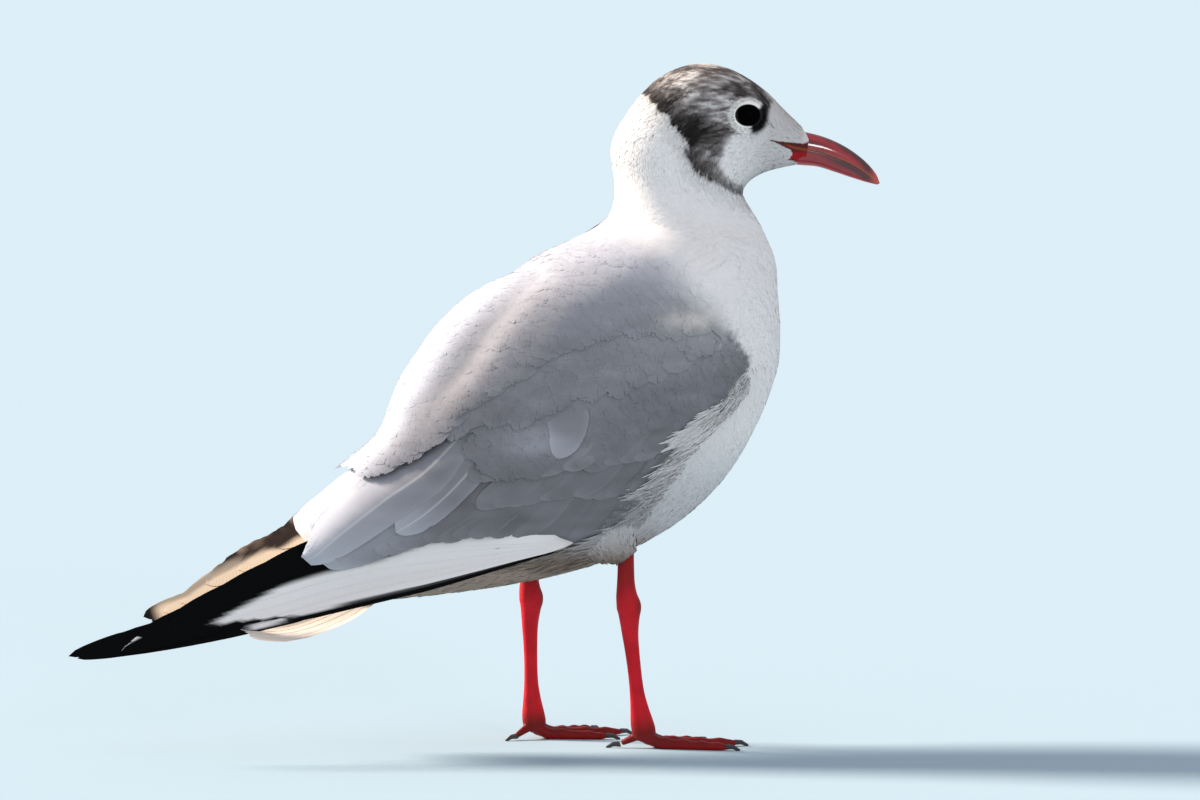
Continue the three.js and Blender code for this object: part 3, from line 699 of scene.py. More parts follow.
def feathers(surface, places, pattern, length, width, lift, sink, camber, yaw, fray, tip_light, level=0.0, own=0.5):
    """Contour feathers that hug a surface: points, normals and colours, one row per feather. The root lies sink
    below the surface, the tip lift above it, both raised by level, and the sides bend down by camber. Yaw turns
    the feather, fray shortens barbs, tip_light brightens its edge, and own is how far each point takes the
    surface's colour under it, rather than the root's. All but yaw may be one number for all feathers."""
    shape, _, barb, barbs = pattern
    t, a = places.T
    n = len(t)
    length, width, lift, sink, camber, fray, tip_light, level, own = (
        np.broadcast_to(value, n) for value in (length, width, lift, sink, camber, fray, tip_light, level, own))
    ways, sides = march(surface, t, a, yaw, length)
    ragged = 1 + fray[:, None] * rng.uniform(-1.0, 0.55, (n, barbs))
    ragged = np.concatenate([ragged, np.ones((n, 1))], 1)[:, barb]
    s = np.clip(shape[None, :, 0] * np.where(shape[None, :, 0] > 0.55, mix(1.0, ragged, 0.6), 1.0), 0, 1.2)
    w = shape[None, :, 1] * ragged
    last = ways.shape[1] - 1
    i = np.minimum((np.clip(s, 0, 1) * last).astype(int), last - 1)
    f = (s * last - i)[..., None]
    rows = np.arange(n)[:, None]
    way, side = (mix(grid[rows, i], grid[rows, i + 1], f) for grid in (ways, sides))
    place = way + side * (w * width[:, None])[..., None]
    tt, aa = np.clip(place[..., 0], 0, 1), place[..., 1]
    base = surface.sample(surface.points, tt, aa)
    normal = unit(surface.sample(surface.normals, tt, aa))
    height = level[:, None] - sink[:, None] * (1 - s.clip(0, 1)) ** 2.4 + lift[:, None] * s**2.2
    height = height - camber[:, None] * w**2 + rng.uniform(-0.03, 0.03, n)[:, None]
    points = base + normal * height[..., None]
    tone = surface.colours(t, a, surface.sample(surface.points, t, a))[:, None]
    here = surface.colours(tt.ravel(), aa.ravel(), base.reshape(-1, 3)).reshape(n, -1, 3)
    shade = 1 + rng.normal(0, 0.02, n)[:, None] + rng.normal(0, 0.012, (n, s.shape[1]))
    colours = blend(tone, here, own[:, None]) * shade[..., None]
    edge = np.clip((s - 0.6) / 0.4, 0, 1) + np.clip(np.abs(w) - 0.7, 0, 0.3)
    colours = blend(colours, np.minimum(colours * 1.25 + 0.02, 0.85), (tip_light[:, None] * edge).clip(0, 1))
    return points, unit(normal + rounding(points, shape, normal)), np.clip(colours, 0.002, 0.9)


def rounding(points, shape, normal):
    """A small turn of the shading normals towards each side of a vane, so that feathers read as rounded."""
    out = points - points[:, np.abs(shape[:, 1]) < 1e-6].mean(1, keepdims=True)
    out = out - (out * normal).sum(-1, keepdims=True) * normal
    return 0.08 * out / (np.abs(out).max(axis=(1, 2), keepdims=True) + 1e-6)


def grow_coat(name, surface, places, pattern, slot, finish, **form):
    """Feathers at places on a surface, joined into pieces under the limit of triangles, each with its bake map."""
    points, normals, colours = feathers(surface, places, pattern, **form)
    shape, faces = pattern[:2]
    root = np.stack([places[:, 0], (places[:, 1] + math.pi) / (2 * math.pi) % 1.0], 1)
    bake = (root * BAKE_SPAN + BAKE_MARGIN)[:, None] + shape * BAKE_PATCH
    vane = np.broadcast_to(np.stack([shape[:, 1], shape[:, 0] * 3 - np.abs(shape[:, 1])], 1), bake.shape)
    step = COAT_PIECE_LIMIT // (len(faces) * (faces.shape[1] - 2))
    for number, first in enumerate(range(0, len(places), step), 1):
        part = slice(first, first + step)
        feather = np.arange(len(places[part])) * len(shape)
        quads = (faces + feather[:, None, None]).reshape(-1, faces.shape[1])
        maps = {"OFBake": bake[part].reshape(-1, 2), "Vane": vane[part].reshape(-1, 2)}
        obj = mesh_object(f"{name}_{number}", points[part].reshape(-1, 3), quads, normals[part].reshape(-1, 3),
                          colours[part].reshape(-1, 3), maps, finish)
        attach(obj, "root")


def head_coat(finish):
    """Fine, hair-like feathers of the head, shortest at the bill and round the eyes."""
    places = lattice(envelope, lambda t: mix(0.55, 0.95, smooth(0.05, 0.42, t)), 0.012, 0.46, bare_kept)
    t, a = places.T
    n = len(t)
    length = mix(2.2, 8.0, smooth(0.02, 0.42, t)) * rng.uniform(0.8, 1.2, n)
    length *= 1 - 0.55 * (1 - smooth(EYE_OPENING, EYE_OPENING + 6, eye_places(t, a)[0]))
    grow_coat("coat_head", envelope, places, HEAD_BARBS, "feathers_head", finish,
              length=length, width=length * mix(0.17, 0.11, smooth(0.1, 0.42, t)),
              lift=rng.uniform(0.0, 0.10, n) * mix(1.0, 0.4, smooth(0.3, 0.4, t)), sink=coat_depth(t) * 0.9,
              camber=0.04, yaw=turn_from_eye(t, a) + rng.normal(0, 0.14, n), fray=0.35, tip_light=0.08, own=0.85)


def eye_places(t, a):
    """Distance in mm from the nearer eye in side view, and the way from it, at places on the envelope."""
    points = envelope.sample(envelope.points, t, a)
    aways = np.array([points - eye_centre(side) for side in (RIGHT, LEFT)])
    nearer = np.linalg.norm(aways, axis=2).argmin(0)
    local = turn_head(points, -turn_at(t))
    return np.hypot(local[:, 0] - EYE["x"], local[:, 2] - EYE["z"]), aways[nearer, np.arange(len(points))]


def bare_kept(t, a):
    """Places with feathers: not in the eyes' openings, nor on the bare skin of the gape."""
    local = turn_head(envelope.sample(envelope.points, t, a), -turn_at(t))
    return (eye_places(t, a)[0] > EYE_OPENING) & ~inside(local[:, [0, 2]], GAPE_WEDGE)


def turn_from_eye(t, a):
    """Yaw that leads feathers round the eye rather than over it."""
    away = eye_places(t, a)[1]
    normal = unit(envelope.sample(envelope.normals, t, a))
    ahead = unit(envelope.sample(envelope.along, t, a))
    x, y = (away * ahead).sum(1), (away * unit(np.cross(normal, ahead))).sum(1)
    return np.sign(y) * smooth(2.0, -6.0, x) * smooth(13, 6, np.hypot(x, y)) * 1.1


def side_view(t, a):
    return envelope.sample(envelope.points, t, a)[:, [0, 2]]


def side_yaw(t, a, way):
    """Yaw that leads feathers of the envelope along directions given in side view."""
    down, normal = envelope.sample(envelope.along, t, a), unit(envelope.sample(envelope.normals, t, a))
    ahead = unit(down - (down * normal).sum(1)[:, None] * normal)
    target = np.stack([way[:, 0], np.zeros(len(t)), way[:, 1]], 1)
    return np.arctan2((target * np.cross(normal, ahead)).sum(1), (target * ahead).sum(1))


def wing_lie(points):
    """Which way the wing's and mantle's feathers point, in side view: steep in front, flatter behind."""
    slope = np.interp(points[:, 0], [-100, -50, 0, 30, 55], [-38, -42, -50, -60, -66])
    slope = np.radians(mix(slope, -36.0, smooth(140, 172, points[:, 1])))
    return np.stack([-np.cos(slope), np.sin(slope)], 1)


def body_coat(finish):
    """Soft feathers of the neck, breast, belly and rump."""
    def keep(t, a):
        view = side_view(t, a)
        return (depth_in(view, GREY_REGION) < 9) & (depth_in(view, WEDGE_REGION) < 1) & (depth_in(view, ROW_REGION) < 3)

    places = lattice(envelope, lambda t: mix(1.05, 2.1, smooth(0.46, 0.62, t)), 0.43, 0.985, keep)
    t, a = places.T
    n = len(t)
    belly = smooth(0.66, 0.8, t) * smooth(1.5, 2.2, np.abs(a))
    length = mix(7.0, 15.0, smooth(0.44, 0.64, t)) * rng.uniform(0.85, 1.15, n)
    length *= smooth(1.04, 0.94, t) * 0.6 + 0.4
    under = smooth(-2, 3, depth_in(side_view(t, a), ROW_REGION))
    grow_coat("coat_body", envelope, places, BODY_BARBS, "feathers_white", finish,
              length=length, width=length * mix(0.24, 0.3, smooth(0.4, 0.62, t)),
              lift=0.02 + 0.35 * belly * rng.uniform(0, 1, n) ** 2, sink=coat_depth(t) * 0.9, camber=0.04,
              yaw=rng.normal(0, 0.08, n), fray=mix(0.12, 0.3, belly), tip_light=0.03, level=-1.3 * under, own=0.9)


def laid_coat(name, region, finish, gap, long, slim, level, fray, pale):
    """Medium feathers whose tips fill a region of the wing or mantle, in side view; they sink in at its front."""
    def keep(t, a):
        view = side_view(t, a)
        return inside(view + wing_lie(view) * long * 0.9, region)

    places = lattice(envelope, lambda t: gap, 0.5, 0.97, keep)
    t, a = places.T
    n = len(t)
    view = side_view(t, a)
    way = wing_lie(view)
    length = long * rng.uniform(0.88, 1.12, n)
    yaw = (side_yaw(t, a, way) + rng.normal(0, 0.06, n)) * smooth(0.05, 0.5, np.abs(a))
    level = level * smooth(0, 14, line_distance(view + way * long, MANTLE_FRONT))
    grow_coat(name, envelope, places, LAID_BARBS, "feathers_grey", finish,
              length=length, width=length * slim, lift=rng.uniform(0.0, 0.07, n), sink=coat_depth(t) * 0.8,
              camber=0.05, yaw=yaw, fray=fray, tip_light=rng.uniform(0, pale, n),
              level=level * mix(0.2, 1.0, smooth(-85, -55, view[:, 0])), own=0.95)


def flank_coat(finish):
    """White feathers of the breast and flank that spill over the wing's front and lower edge."""
    def keep(t, a):
        points = envelope.sample(envelope.points, t, a)
        view = points[:, [0, 2]]
        return (line_distance(view, FLANK_EDGE) < 8.5) & ~inside(view, GREY_REGION) & (grey_share(points) < 0.1)

    places = lattice(envelope, lambda t: 0.75, 0.5, 0.86, keep)
    t, a = places.T
    n = len(t)
    points = envelope.sample(envelope.points, t, a)
    bend = noise(points, [12, 12, 7], 62) - 0.5
    way = np.stack([np.full(n, -0.93), -0.30 + 0.8 * bend + rng.normal(0, 0.10, n)], 1)
    clump = smooth(0.3, 0.7, noise(points, [6, 6, 4], 61))
    length = mix(5.0, 14.0, clump) * rng.uniform(0.6, 1.35, n) * mix(1.0, 0.5, smooth(126, 138, points[:, 2]))
    grow_coat("coat_flank", envelope, places, TUFT_BARBS, "feathers_white", finish,
              length=length, width=length * 0.026, lift=rng.uniform(0.0, 0.8, n), sink=1.4, camber=0.0,
              yaw=side_yaw(t, a, way), fray=0.3, tip_light=0.0, level=rng.uniform(0.0, 0.7, n) + 0.2, own=0.0)


# ------------------------------------------------------------------ large feathers of wings and tail
# Their shafts are drawn in side view as [x, z], the tail's in top view as [x, y], and laid on a surface sampled
# from the solids. Each large feather is (shaft, width above it, width below it, height, bluntness).

class Drape:
    """How far named nodes reach along one axis, on a grid of the other two, filled out beyond their edges."""

    def __init__(self, names, axis, sign, low, high, step=1.5, middle=False, least=-999.0):
        tree = solids_tree(names)
        self.low, self.step = np.array(low, float), step
        counts = ((np.array(high) - self.low) / step).astype(int) + 1
        self.values = np.full(counts, np.nan)
        away = np.zeros(3)
        away[axis] = sign
        others = [k for k in range(3) if k != axis]
        for i in range(counts[0]):
            for j in range(counts[1]):
                start = away * 300.0
                start[others] = self.low + step * np.array([i, j])
                hit = tree.ray_cast(start.tolist(), (-away).tolist())[0]
                if hit is not None:
                    value = hit[axis]
                    if middle:
                        back = tree.ray_cast((start - 2 * start * abs(away)).tolist(), away.tolist())[0]
                        value = (value + back[axis]) / 2 if back is not None else value
                    self.values[i, j] = sign * max(sign * value, least)
        self.fill()

    def fill(self):
        v = self.values
        while np.isnan(v).any():
            padded = np.pad(v, 1, constant_values=np.nan)
            near = np.stack([padded[a:a + v.shape[0], b:b + v.shape[1]] for a in range(3) for b in range(3)])
            known = ~np.isnan(near)
            total = np.where(known, near, 0).sum(0) / np.maximum(known.sum(0), 1)
            v = np.where(np.isnan(v) & (known.sum(0) > 0), total, v)
        for _ in range(3):
            padded = np.pad(v, 1, mode="edge")
            v = sum(padded[a:a + v.shape[0], b:b + v.shape[1]] for a in range(3) for b in range(3)) / 9
        self.values = v
        slopes = np.gradient(v, self.step)
        self.tilts = np.stack([-slopes[0], -slopes[1], np.ones_like(v)], -1)

    def normal(self, places, axis, sign):
        """The outward normal of the draped surface at places."""
        q = np.clip((places - self.low) / self.step, 0, np.array(self.values.shape) - 1)
        i = np.round(q).astype(int)
        tilt = self.tilts[i[..., 0], i[..., 1]] * sign
        others = [k for k in range(3) if k != axis]
        out = np.zeros(tilt.shape)
        out[..., others], out[..., axis] = tilt[..., :2], tilt[..., 2]
        return unit(out)

    def at(self, places):
        q = (places - self.low) / self.step
        top = np.array(self.values.shape) - 1.001
        q = np.clip(q, 0, top)
        i = q.astype(int)
        f, g = (q - i)[..., 0], (q - i)[..., 1]
        v, a, b = self.values, i[..., 0], i[..., 1]
        return mix(mix(v[a, b], v[a, b + 1], g), mix(v[a + 1, b], v[a + 1, b + 1], g), f)


COLUMN_PLACES = np.array([-1, -0.86, -0.6, -0.32, -0.08, 0, 0.08, 0.32, 0.6, 0.86, 1])


def plume(shaft, up, down, blunt, rows, ragged):
    """One large feather in its flat view: places, share along and share across, as a grid."""
    s = np.linspace(0, 1, rows) ** 0.9
    line = spline(shaft, s)
    way = unit(np.gradient(line, axis=0))
    side = np.stack([way[:, 1], -way[:, 0]], 1)
    full = mix(0.42, 1.0, smooth(0.0, 0.3, s))
    tip = np.sqrt(np.clip(1 - (np.clip(s - blunt, 0, 1) / (1 - blunt)) ** 2, 0, 1))
    full = full * np.sqrt(np.clip(s / 0.05, 0, 1))
    edges = []
    for width in (down, up):
        rough = 1 + ragged * 0.5 * (noise(np.stack([s * 60, s * 0, s * 0], 1), 1.0, rng.integers(99)) - 0.5)
        for _ in range(rng.integers(1, 4)):
            rough -= ragged * rng.uniform(0.5, 1.6) * np.exp(-(((s - rng.uniform(0.45, 0.97)) / 0.012) ** 2))
        edges.append(width * full * tip * rough)
    w = COLUMN_PLACES[None]
    out = np.where(w < 0, edges[0][:, None] * w, edges[1][:, None] * w)
    places = line[:, None] + side[:, None] * out[..., None]
    slant = way[:, None] * (0.55 * np.abs(out) * (1 - 0.7 * tip[:, None]))[..., None]
    return places - slant * 0.5, np.repeat(s[:, None], w.shape[1], 1), np.repeat(w, rows, 0)


def grid_normals(grid):
    down, over = np.gradient(grid, axis=0), np.gradient(grid, axis=1)
    return unit(np.cross(down, over)).reshape(-1, 3)


def plume_group(name, shafts, surface, axis, sign, tint, finish, rows, shingle=0.22, ragged=0.08, lean=None):
    """Large feathers on a drape, as one mesh; lean turns the shading normals of feather n by share across."""
    grids, colours, bakes, vanes, leans = [], [], [], [], []
    cells = math.ceil(math.sqrt(len(shafts)))
    others = [k for k in range(3) if k != axis]
    for n, (shaft, up, down, height, blunt) in enumerate(shafts):
        places, s, w = plume(shaft, up, down, blunt, rows, ragged)
        rise = height - shingle * w + 0.10 * np.exp(-((w / 0.07) ** 2)) - 0.12 * w**2 - 1.6 * (1 - s) ** 3
        rise = rise + rng.uniform(-0.05, 0.05) + 0.1 * smooth(0.75, 1, s)
        points = np.zeros(places.shape[:2] + (3,))
        points[..., others] = places
        points[..., axis] = surface.at(places) + sign * rise
        grids.append(points)
        colours.append(tint(n, points, s, w))
        normal = surface.normal(places, axis, sign)
        leans.append(unit(normal + lean(n, w)) if lean else normal)
        cell = np.array([n % cells, n // cells])
        bakes.append((cell + 0.06 + 0.88 * np.stack([w * 0.5 + 0.5, s], -1)) / cells)
        length = np.linalg.norm(np.diff(places[:, 5], axis=0), axis=1).sum()
        vanes.append(np.stack([w * (up + down) / 2, s * length - np.abs(w) * 3], -1) / 10)
    per = rows * len(COLUMN_PLACES)
    quads = grid_faces(rows, len(COLUMN_PLACES), False)
    faces = np.concatenate([quads + per * n for n in range(len(shafts))])
    groups = (grids, colours, bakes, vanes, leans)
    flat = [np.concatenate([grid.reshape(-1, grid.shape[-1]) for grid in group]) for group in groups]
    own = np.concatenate([grid_normals(g) for g in grids])
    faces = faces if (own * flat[4]).sum() < 0 else faces[:, ::-1]
    own *= np.sign((own * flat[4]).sum(1, keepdims=True) + 1e-9)
    obj = mesh_object(name, flat[0], faces, unit(mix(flat[4], own, 0.3)), np.clip(flat[1], 0.003, 0.9),
                      {"OFBake": flat[2], "Vane": flat[3]}, finish)
    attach(obj, "root")
    return obj


SHAFT_BOW = 3.0


def slanted(tips, count, front, rear, up, down, height, blunt):
    """Shafts whose tips lie along a line; each is led in from ahead and above, steeply in front, flatter behind."""
    out = []
    for share in np.linspace(0, 1, count):
        tip = spline(tips, np.array([share]))[0] + rng.normal(0, 0.7, 2)
        reach = mix(np.array(front, float), np.array(rear, float), share)
        side = unit(np.array([reach[1], -reach[0]]))
        out.append(([tip + reach, tip + reach / 2 + side * SHAFT_BOW, tip], up, down, height, blunt))
    return out


SECONDARY_TIPS = [[6, 79.5], [-8, 80], [-20, 80.5], [-34, 81.5], [-48, 82.5], [-60, 81.5], [-70, 79.5], [-80, 77.5],
                  [-90, 74.5], [-99, 72.5]]
GREATER_TIPS = [[27, 107], [19, 101], [10, 98], [0, 96.5], [-11, 96], [-23, 95.5], [-35, 94.5], [-47, 93]]
MEDIAN_TIPS = [[37, 121], [28, 115], [17, 111.5], [5, 109.5], [-6, 108], [-17, 107], [-28, 105.5], [-39, 104.5],
               [-50, 104]]
TERTIALS = [
    ([[-36, 122], [-45, 111], [-56, 98.5], [-66, 89.5], [-75, 83.5]], 9.0, 5.5, 0.1, 0.66),
    ([[-44, 128], [-62.5, 107.5], [-79.5, 95], [-95.5, 82], [-106.5, 71.5]], 10.0, 8.5, 0.3, 0.5),
    ([[-13, 133], [-13.6, 126], [-15, 118.5], [-18.5, 111]], 8.0, 7.0, 0.5, 0.35),
]


def wing_tint(light):
    """Pearl grey, each feather a little its own, paler at the edge and tip, and a little darker over the upper web."""
    own = rng.normal(0, 0.03, 200)

    def tint(n, points, s, w):
        share = light + own[n] + 0.07 * smooth(0.8, 1.0, s) + 0.08 * smooth(0.8, 1.0, np.abs(w))
        return blend(grey_tone(points), PALE_GREY, np.clip(share - 0.05 * smooth(0, 0.9, w), -0.3, 1))

    return tint


def tertial_tint(n, points, s, w):
    """As grey as the wing, paler at the edges; the longest one is paler to white over its upper web, its pale edge with
    painted sunlight on it.
    """
    longest = n == 1
    share = 0.10 + 0.35 * smooth(0.5, 1.0, s) + 0.14 * smooth(0.75, 1, np.abs(w)) - 0.06 * (n == 2)
    # The longest tertial's upper web: partly a pale edge, partly painted sunlight.
    out = blend(grey_tone(points), PALE_GREY, np.clip(share + 0.40 * smooth(0.1, 0.8, w) * longest, 0, 1.1))
    return blend(out, WHITE, np.exp(-((w / 0.04) ** 2)) * 0.30 * (n < 2) + 0.35 * smooth(0.6, 1.0, w) * longest)


# The white wedge's upper edge, in side view.
WHITE_TOP = np.array([
    [-200, 30], [-150, 44], [-134, 53.6], [-114, 63.7], [-95, 69.5], [-76, 74.3], [-55, 82], [-10, 92],
])
NEAR_PRIMARIES = [
    ([[-8, 78.5], [-75, 62.4], [-135, 48.2], [-190, 38.2]], 5.5, 3.4, 0.0, 0.66),
    ([[-8, 78.8], [-75, 65.5], [-135, 51], [-193.5, 39.2]], 6.0, 3.6, 0.16, 0.66),
    ([[-9, 79.1], [-75, 68.5], [-130, 53.5], [-174, 40.4]], 6.5, 4.2, 0.32, 0.66),
    ([[-10, 79.4], [-72, 72], [-122, 59.5], [-168, 46]], 6.5, 4.5, 0.48, 0.66),
    ([[-11, 79.7], [-70, 76], [-114, 65.5], [-156, 51.5]], 6.5, 4.8, 0.64, 0.66),
    ([[-12, 80], [-66, 80], [-106, 71.5], [-145, 56.5]], 6.0, 4.8, 0.8, 0.66),
    ([[-13, 80.4], [-62, 82.5], [-98, 76.5], [-134, 61.5]], 5.6, 4.8, 0.96, 0.66),
]
# The near wing's upper edge, over which the far wing shows.
BAND_TOP = np.array([[-165, 47.5], [-153, 52.3], [-125, 63.5], [-102, 73.9], [-60, 90]])
FAR_PRIMARIES = [
    ([[-24, 80], [-75, 65.5], [-125, 55], [-157, 50.2]], 5.5, 4.0, 0.0, 0.66),
    ([[-24, 82], [-75, 71], [-125, 58.5], [-160, 51.6]], 6.0, 4.0, 0.3, 0.66),
    ([[-24, 84], [-74, 77], [-120, 64], [-154, 53.4]], 5.6, 4.5, 0.6, 0.66),
    ([[-30, 86], [-72, 82.5], [-116, 69.5], [-149, 56.6]], 5.8, 4.5, 0.9, 0.66),
    ([[-36, 88], [-74, 86], [-109, 75.5], [-140, 63]], 6.0, 4.8, 1.2, 0.66),
    ([[-40, 90], [-74, 88.5], [-102, 80.5], [-129, 68]], 5.5, 4.8, 1.5, 0.66),
    ([[-46, 93], [-72, 93], [-94, 87.5], [-116, 76]], 5.5, 4.8, 1.8, 0.66),
]


def near_primary_tint(n, points, s, w):
    """White outer webs under a black band, black tips, and a thin black leading edge."""
    x, z = points[..., 0], points[..., 2]
    top = np.interp(x, WHITE_TOP[:, 0], WHITE_TOP[:, 1]) + 0.5 * (noise(points, 5, 43) - 0.5)
    black = np.maximum(smooth(-1.2, 0.8, z - top) * smooth(-45, -75, x), smooth(-145, -150, x - 0.8 * (z - 46)))
    if n == 0:
        edge = mix(-0.24, -0.6, smooth(-88, -125, x))
        black = np.maximum(black, smooth(edge, edge - 0.1, w) * smooth(-8, -16, x))
    above = z - np.interp(x, [-152, -112], [46.8, 52.5])
    sliver = smooth(1.5, 0.8, np.abs(above) * mix(1.0, 3.0, smooth(-132, -112, x))) * smooth(-107, -113, x)
    black = np.maximum(np.maximum(black, sliver), smooth(0.3, -0.5, above) * smooth(-124, -129, x))
    fringe = smooth(0.72, 0.85, w) * smooth(0.80, 0.90, s) * (n == 2)
    return blend(blend(WHITE * 0.97, BLACK, black), WHITE, fringe * 0.9)


FAR_BROWN, FAR_TAN, FAR_CREAM = paint(44, 36, 33), paint(134, 112, 97), paint(206, 186, 162)
FAR_GREY, TAIL_CREAM = paint(128, 118, 108), paint(226, 216, 204)
# The far wing's upper edge, as x and z at the depth FAR_Y. Per mm of depth, what the photo's camera sees at one
# place lies FAR_SHEAR further on in x.
FAR_Y, FAR_SHEAR = 15, 0.3054
FAR_TOP = np.array([
    [-165, 50], [-158, 56.5], [-151, 61], [-133, 70], [-120, 79], [-108, 86], [-98, 92.5], [-87, 99], [-40, 99],
])


def far_primary_tint(n, points, s, w):
    """Cream vanes with brown upper webs, a grey streak behind and a dark tip."""
    x, z = points[..., 0] - FAR_SHEAR * (points[..., 1] - FAR_Y), points[..., 2]
    below = np.interp(x, FAR_TOP[:, 0], FAR_TOP[:, 1]) - z + 2.5 * (noise(points, 6, 44) - 0.5)
    deep = np.interp(x, [-138, -133, -123, -113, -101, -90], [0, 2, 5.8, 8, 11, 13])
    brown = smooth(deep + 1.2, deep - 0.8, below) * smooth(-139, -133, x)
    tan = smooth(7, 1, below) * smooth(-86, -96, x) * smooth(0.3, 0.7, noise(points, 3.5, 46))
    out = blend(FAR_CREAM, blend(FAR_BROWN, FAR_TAN, tan), brown)
    streak = np.abs(z - np.interp(x, [-162, -143, -133, -123], [54.0, 60.5, 67, 71.5]))
    out = blend(out, FAR_GREY, smooth(2.4, 0.8, streak) * smooth(-119, -127, x) * 0.8)
    return blend(out, BLACK, smooth(-153, -159, x + 0.5 * (z - 55)))


def tail_tint(n, points, s, w):
    return TAIL_CREAM * (0.97 + 0.06 * noise(points, 8, 45)[..., None])


def shifted(line, by):
    return [[x + by, z] for x, z in line]


def roll_over(n, w):
    """The longest tertial's upper web rolls over the back's edge."""
    return (smooth(-0.3, 1.0, w) * (n == 1))[..., None] * np.array([-0.55, 0.0, 0.85])


class FarBlade:
    """The far wing's tip turns over behind the body, until its upper side shows above the near wing's."""

    def __init__(self, drape):
        self.drape = drape

    def at(self, places):
        x, z = places[..., 0], places[..., 1]
        above = z - np.interp(x, BAND_TOP[:, 0], BAND_TOP[:, 1])
        return mix(self.drape.at(places), 6 + 1.3 * np.maximum(above, -2), smooth(-62, -95, x))

    def normal(self, places, axis, sign):
        along, up = ((self.at(places + step) - self.at(places - step)) / 2 for step in np.eye(2))
        return unit(np.stack([along, -np.ones(along.shape), up], -1))


def make_wing(side, finish, primary_finish):
    name = SIDE_NAME[side]
    body = Drape([f"scapulars_{name}", f"wing_{name}_coverts", f"wing_{name}_tertials", "trunk", "neck"], 1, side,
                 (-125, 55), (75, 190), least=6.0)
    blade = Drape([f"wing_{name}_primaries"], 1, side, (-196, 32), (-15, 106), middle=True)
    primaries, tertials, tint, ragged = NEAR_PRIMARIES, TERTIALS, near_primary_tint, 0.04
    if side == LEFT:
        blade, tint, ragged = FarBlade(blade), far_primary_tint, 0.14
        primaries = [(shifted(row[0], max(-2.5, 1.4 * n - 3.3)),) + row[1:] for n, row in enumerate(FAR_PRIMARIES)]
        longest = TERTIALS[1]
        tertials = [TERTIALS[0], (shifted(longest[0], 9), 8.0) + longest[2:], TERTIALS[2]]
    piece = plume_group(f"primaries_{name}", primaries, blade, 1, RIGHT, tint, primary_finish,
                        rows=70, shingle=0.14, ragged=ragged)
    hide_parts(f"wing_{name}_primaries")
    rows = (
        ("secondaries", slanted(SECONDARY_TIPS, 17, (16, 32), (36, 25), 6.5, 6, -0.6, 0.8), wing_tint(0.0), 40, 0.12),
        ("greater_coverts", slanted(GREATER_TIPS, 16, (12, 27), (26, 24), 5.5, 5, -0.3, 0.66), wing_tint(0.0), 34,
         0.06),
        ("median_coverts", slanted(MEDIAN_TIPS, 20, (9, 17), (17, 16), 5, 4.6, 0.0, 0.6), wing_tint(0.02), 26, 0.08),
    )
    plume_group(f"tertials_{name}", tertials, body, 1, side, tertial_tint, finish, rows=50,
                lean=roll_over)
    for row, shafts, tint, count, ragged in rows:
        plume_group(f"{row}_{name}", shafts, body, 1, side, tint, finish, rows=count, ragged=ragged)


def make_tail(finish):
    blade = Drape(["tail"], 2, 1, (-136, -22), (-68, 22), step=1.0)
    shafts = []
    for k in (5, 4, 3, 2, 1, 0):
        for side in (RIGHT, LEFT):
            out = side * (2.0 + 3.2 * k)
            shaft = [[-72, out * 0.62], [-104, out * 0.9], [-132.5 + 0.8 * k, out * 0.96]]
            shafts.append((shaft, 4.4, 4.4, 0.7 - 0.16 * k, 0.86))
    piece = plume_group("tail_feathers", shafts, blade, 2, 1, tail_tint, finish, rows=36,
                        shingle=0.0, ragged=0.05)
    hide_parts("tail")


# ------------------------------------------------------------------ eyes and lids

# The lids' rings: share of the opening's half angles, and lift above the eyeball or, for the last, the skin.
LID_WIDE, LID_HIGH = math.radians(50), math.radians(40)
LID_RINGS = ((0.95, -0.2), (1.0, 0.12), (1.04, 0.4), (1.1, 0.42), (1.2, 0.25), (1.32, 0.15), (1.5, 0.0), (1.75, -0.5))


def ball(centre, radius, rows=24, columns=40):
    """A sphere as points and triangles."""
    polar, turn = np.linspace(0, math.pi, rows + 1), np.linspace(0, 2 * math.pi, columns, endpoint=False)
    p, q = np.meshgrid(polar, turn, indexing="ij")
    points = centre + radius * np.stack([np.sin(p) * np.cos(q), np.sin(p) * np.sin(q), np.cos(p)], -1)
    faces = grid_faces(rows + 1, columns, True)[:, ::-1]
    return points.reshape(-1, 3), triangles(faces)


def make_eyes():
    finish, _ = material("eye", Base_Color=(0.0015, 0.001, 0.001, 1), Roughness=0.2, IOR=1.15,
                         Specular_IOR_Level=0.05)
    for side in (RIGHT, LEFT):
        points, faces = ball(eye_centre(side), EYE_RADIUS)
        eye = mesh_object(f"eyeball_{SIDE_NAME[side]}", points, faces, finish=finish)
        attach(eye, "root")
        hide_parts(f"eye_{SIDE_NAME[side]}")


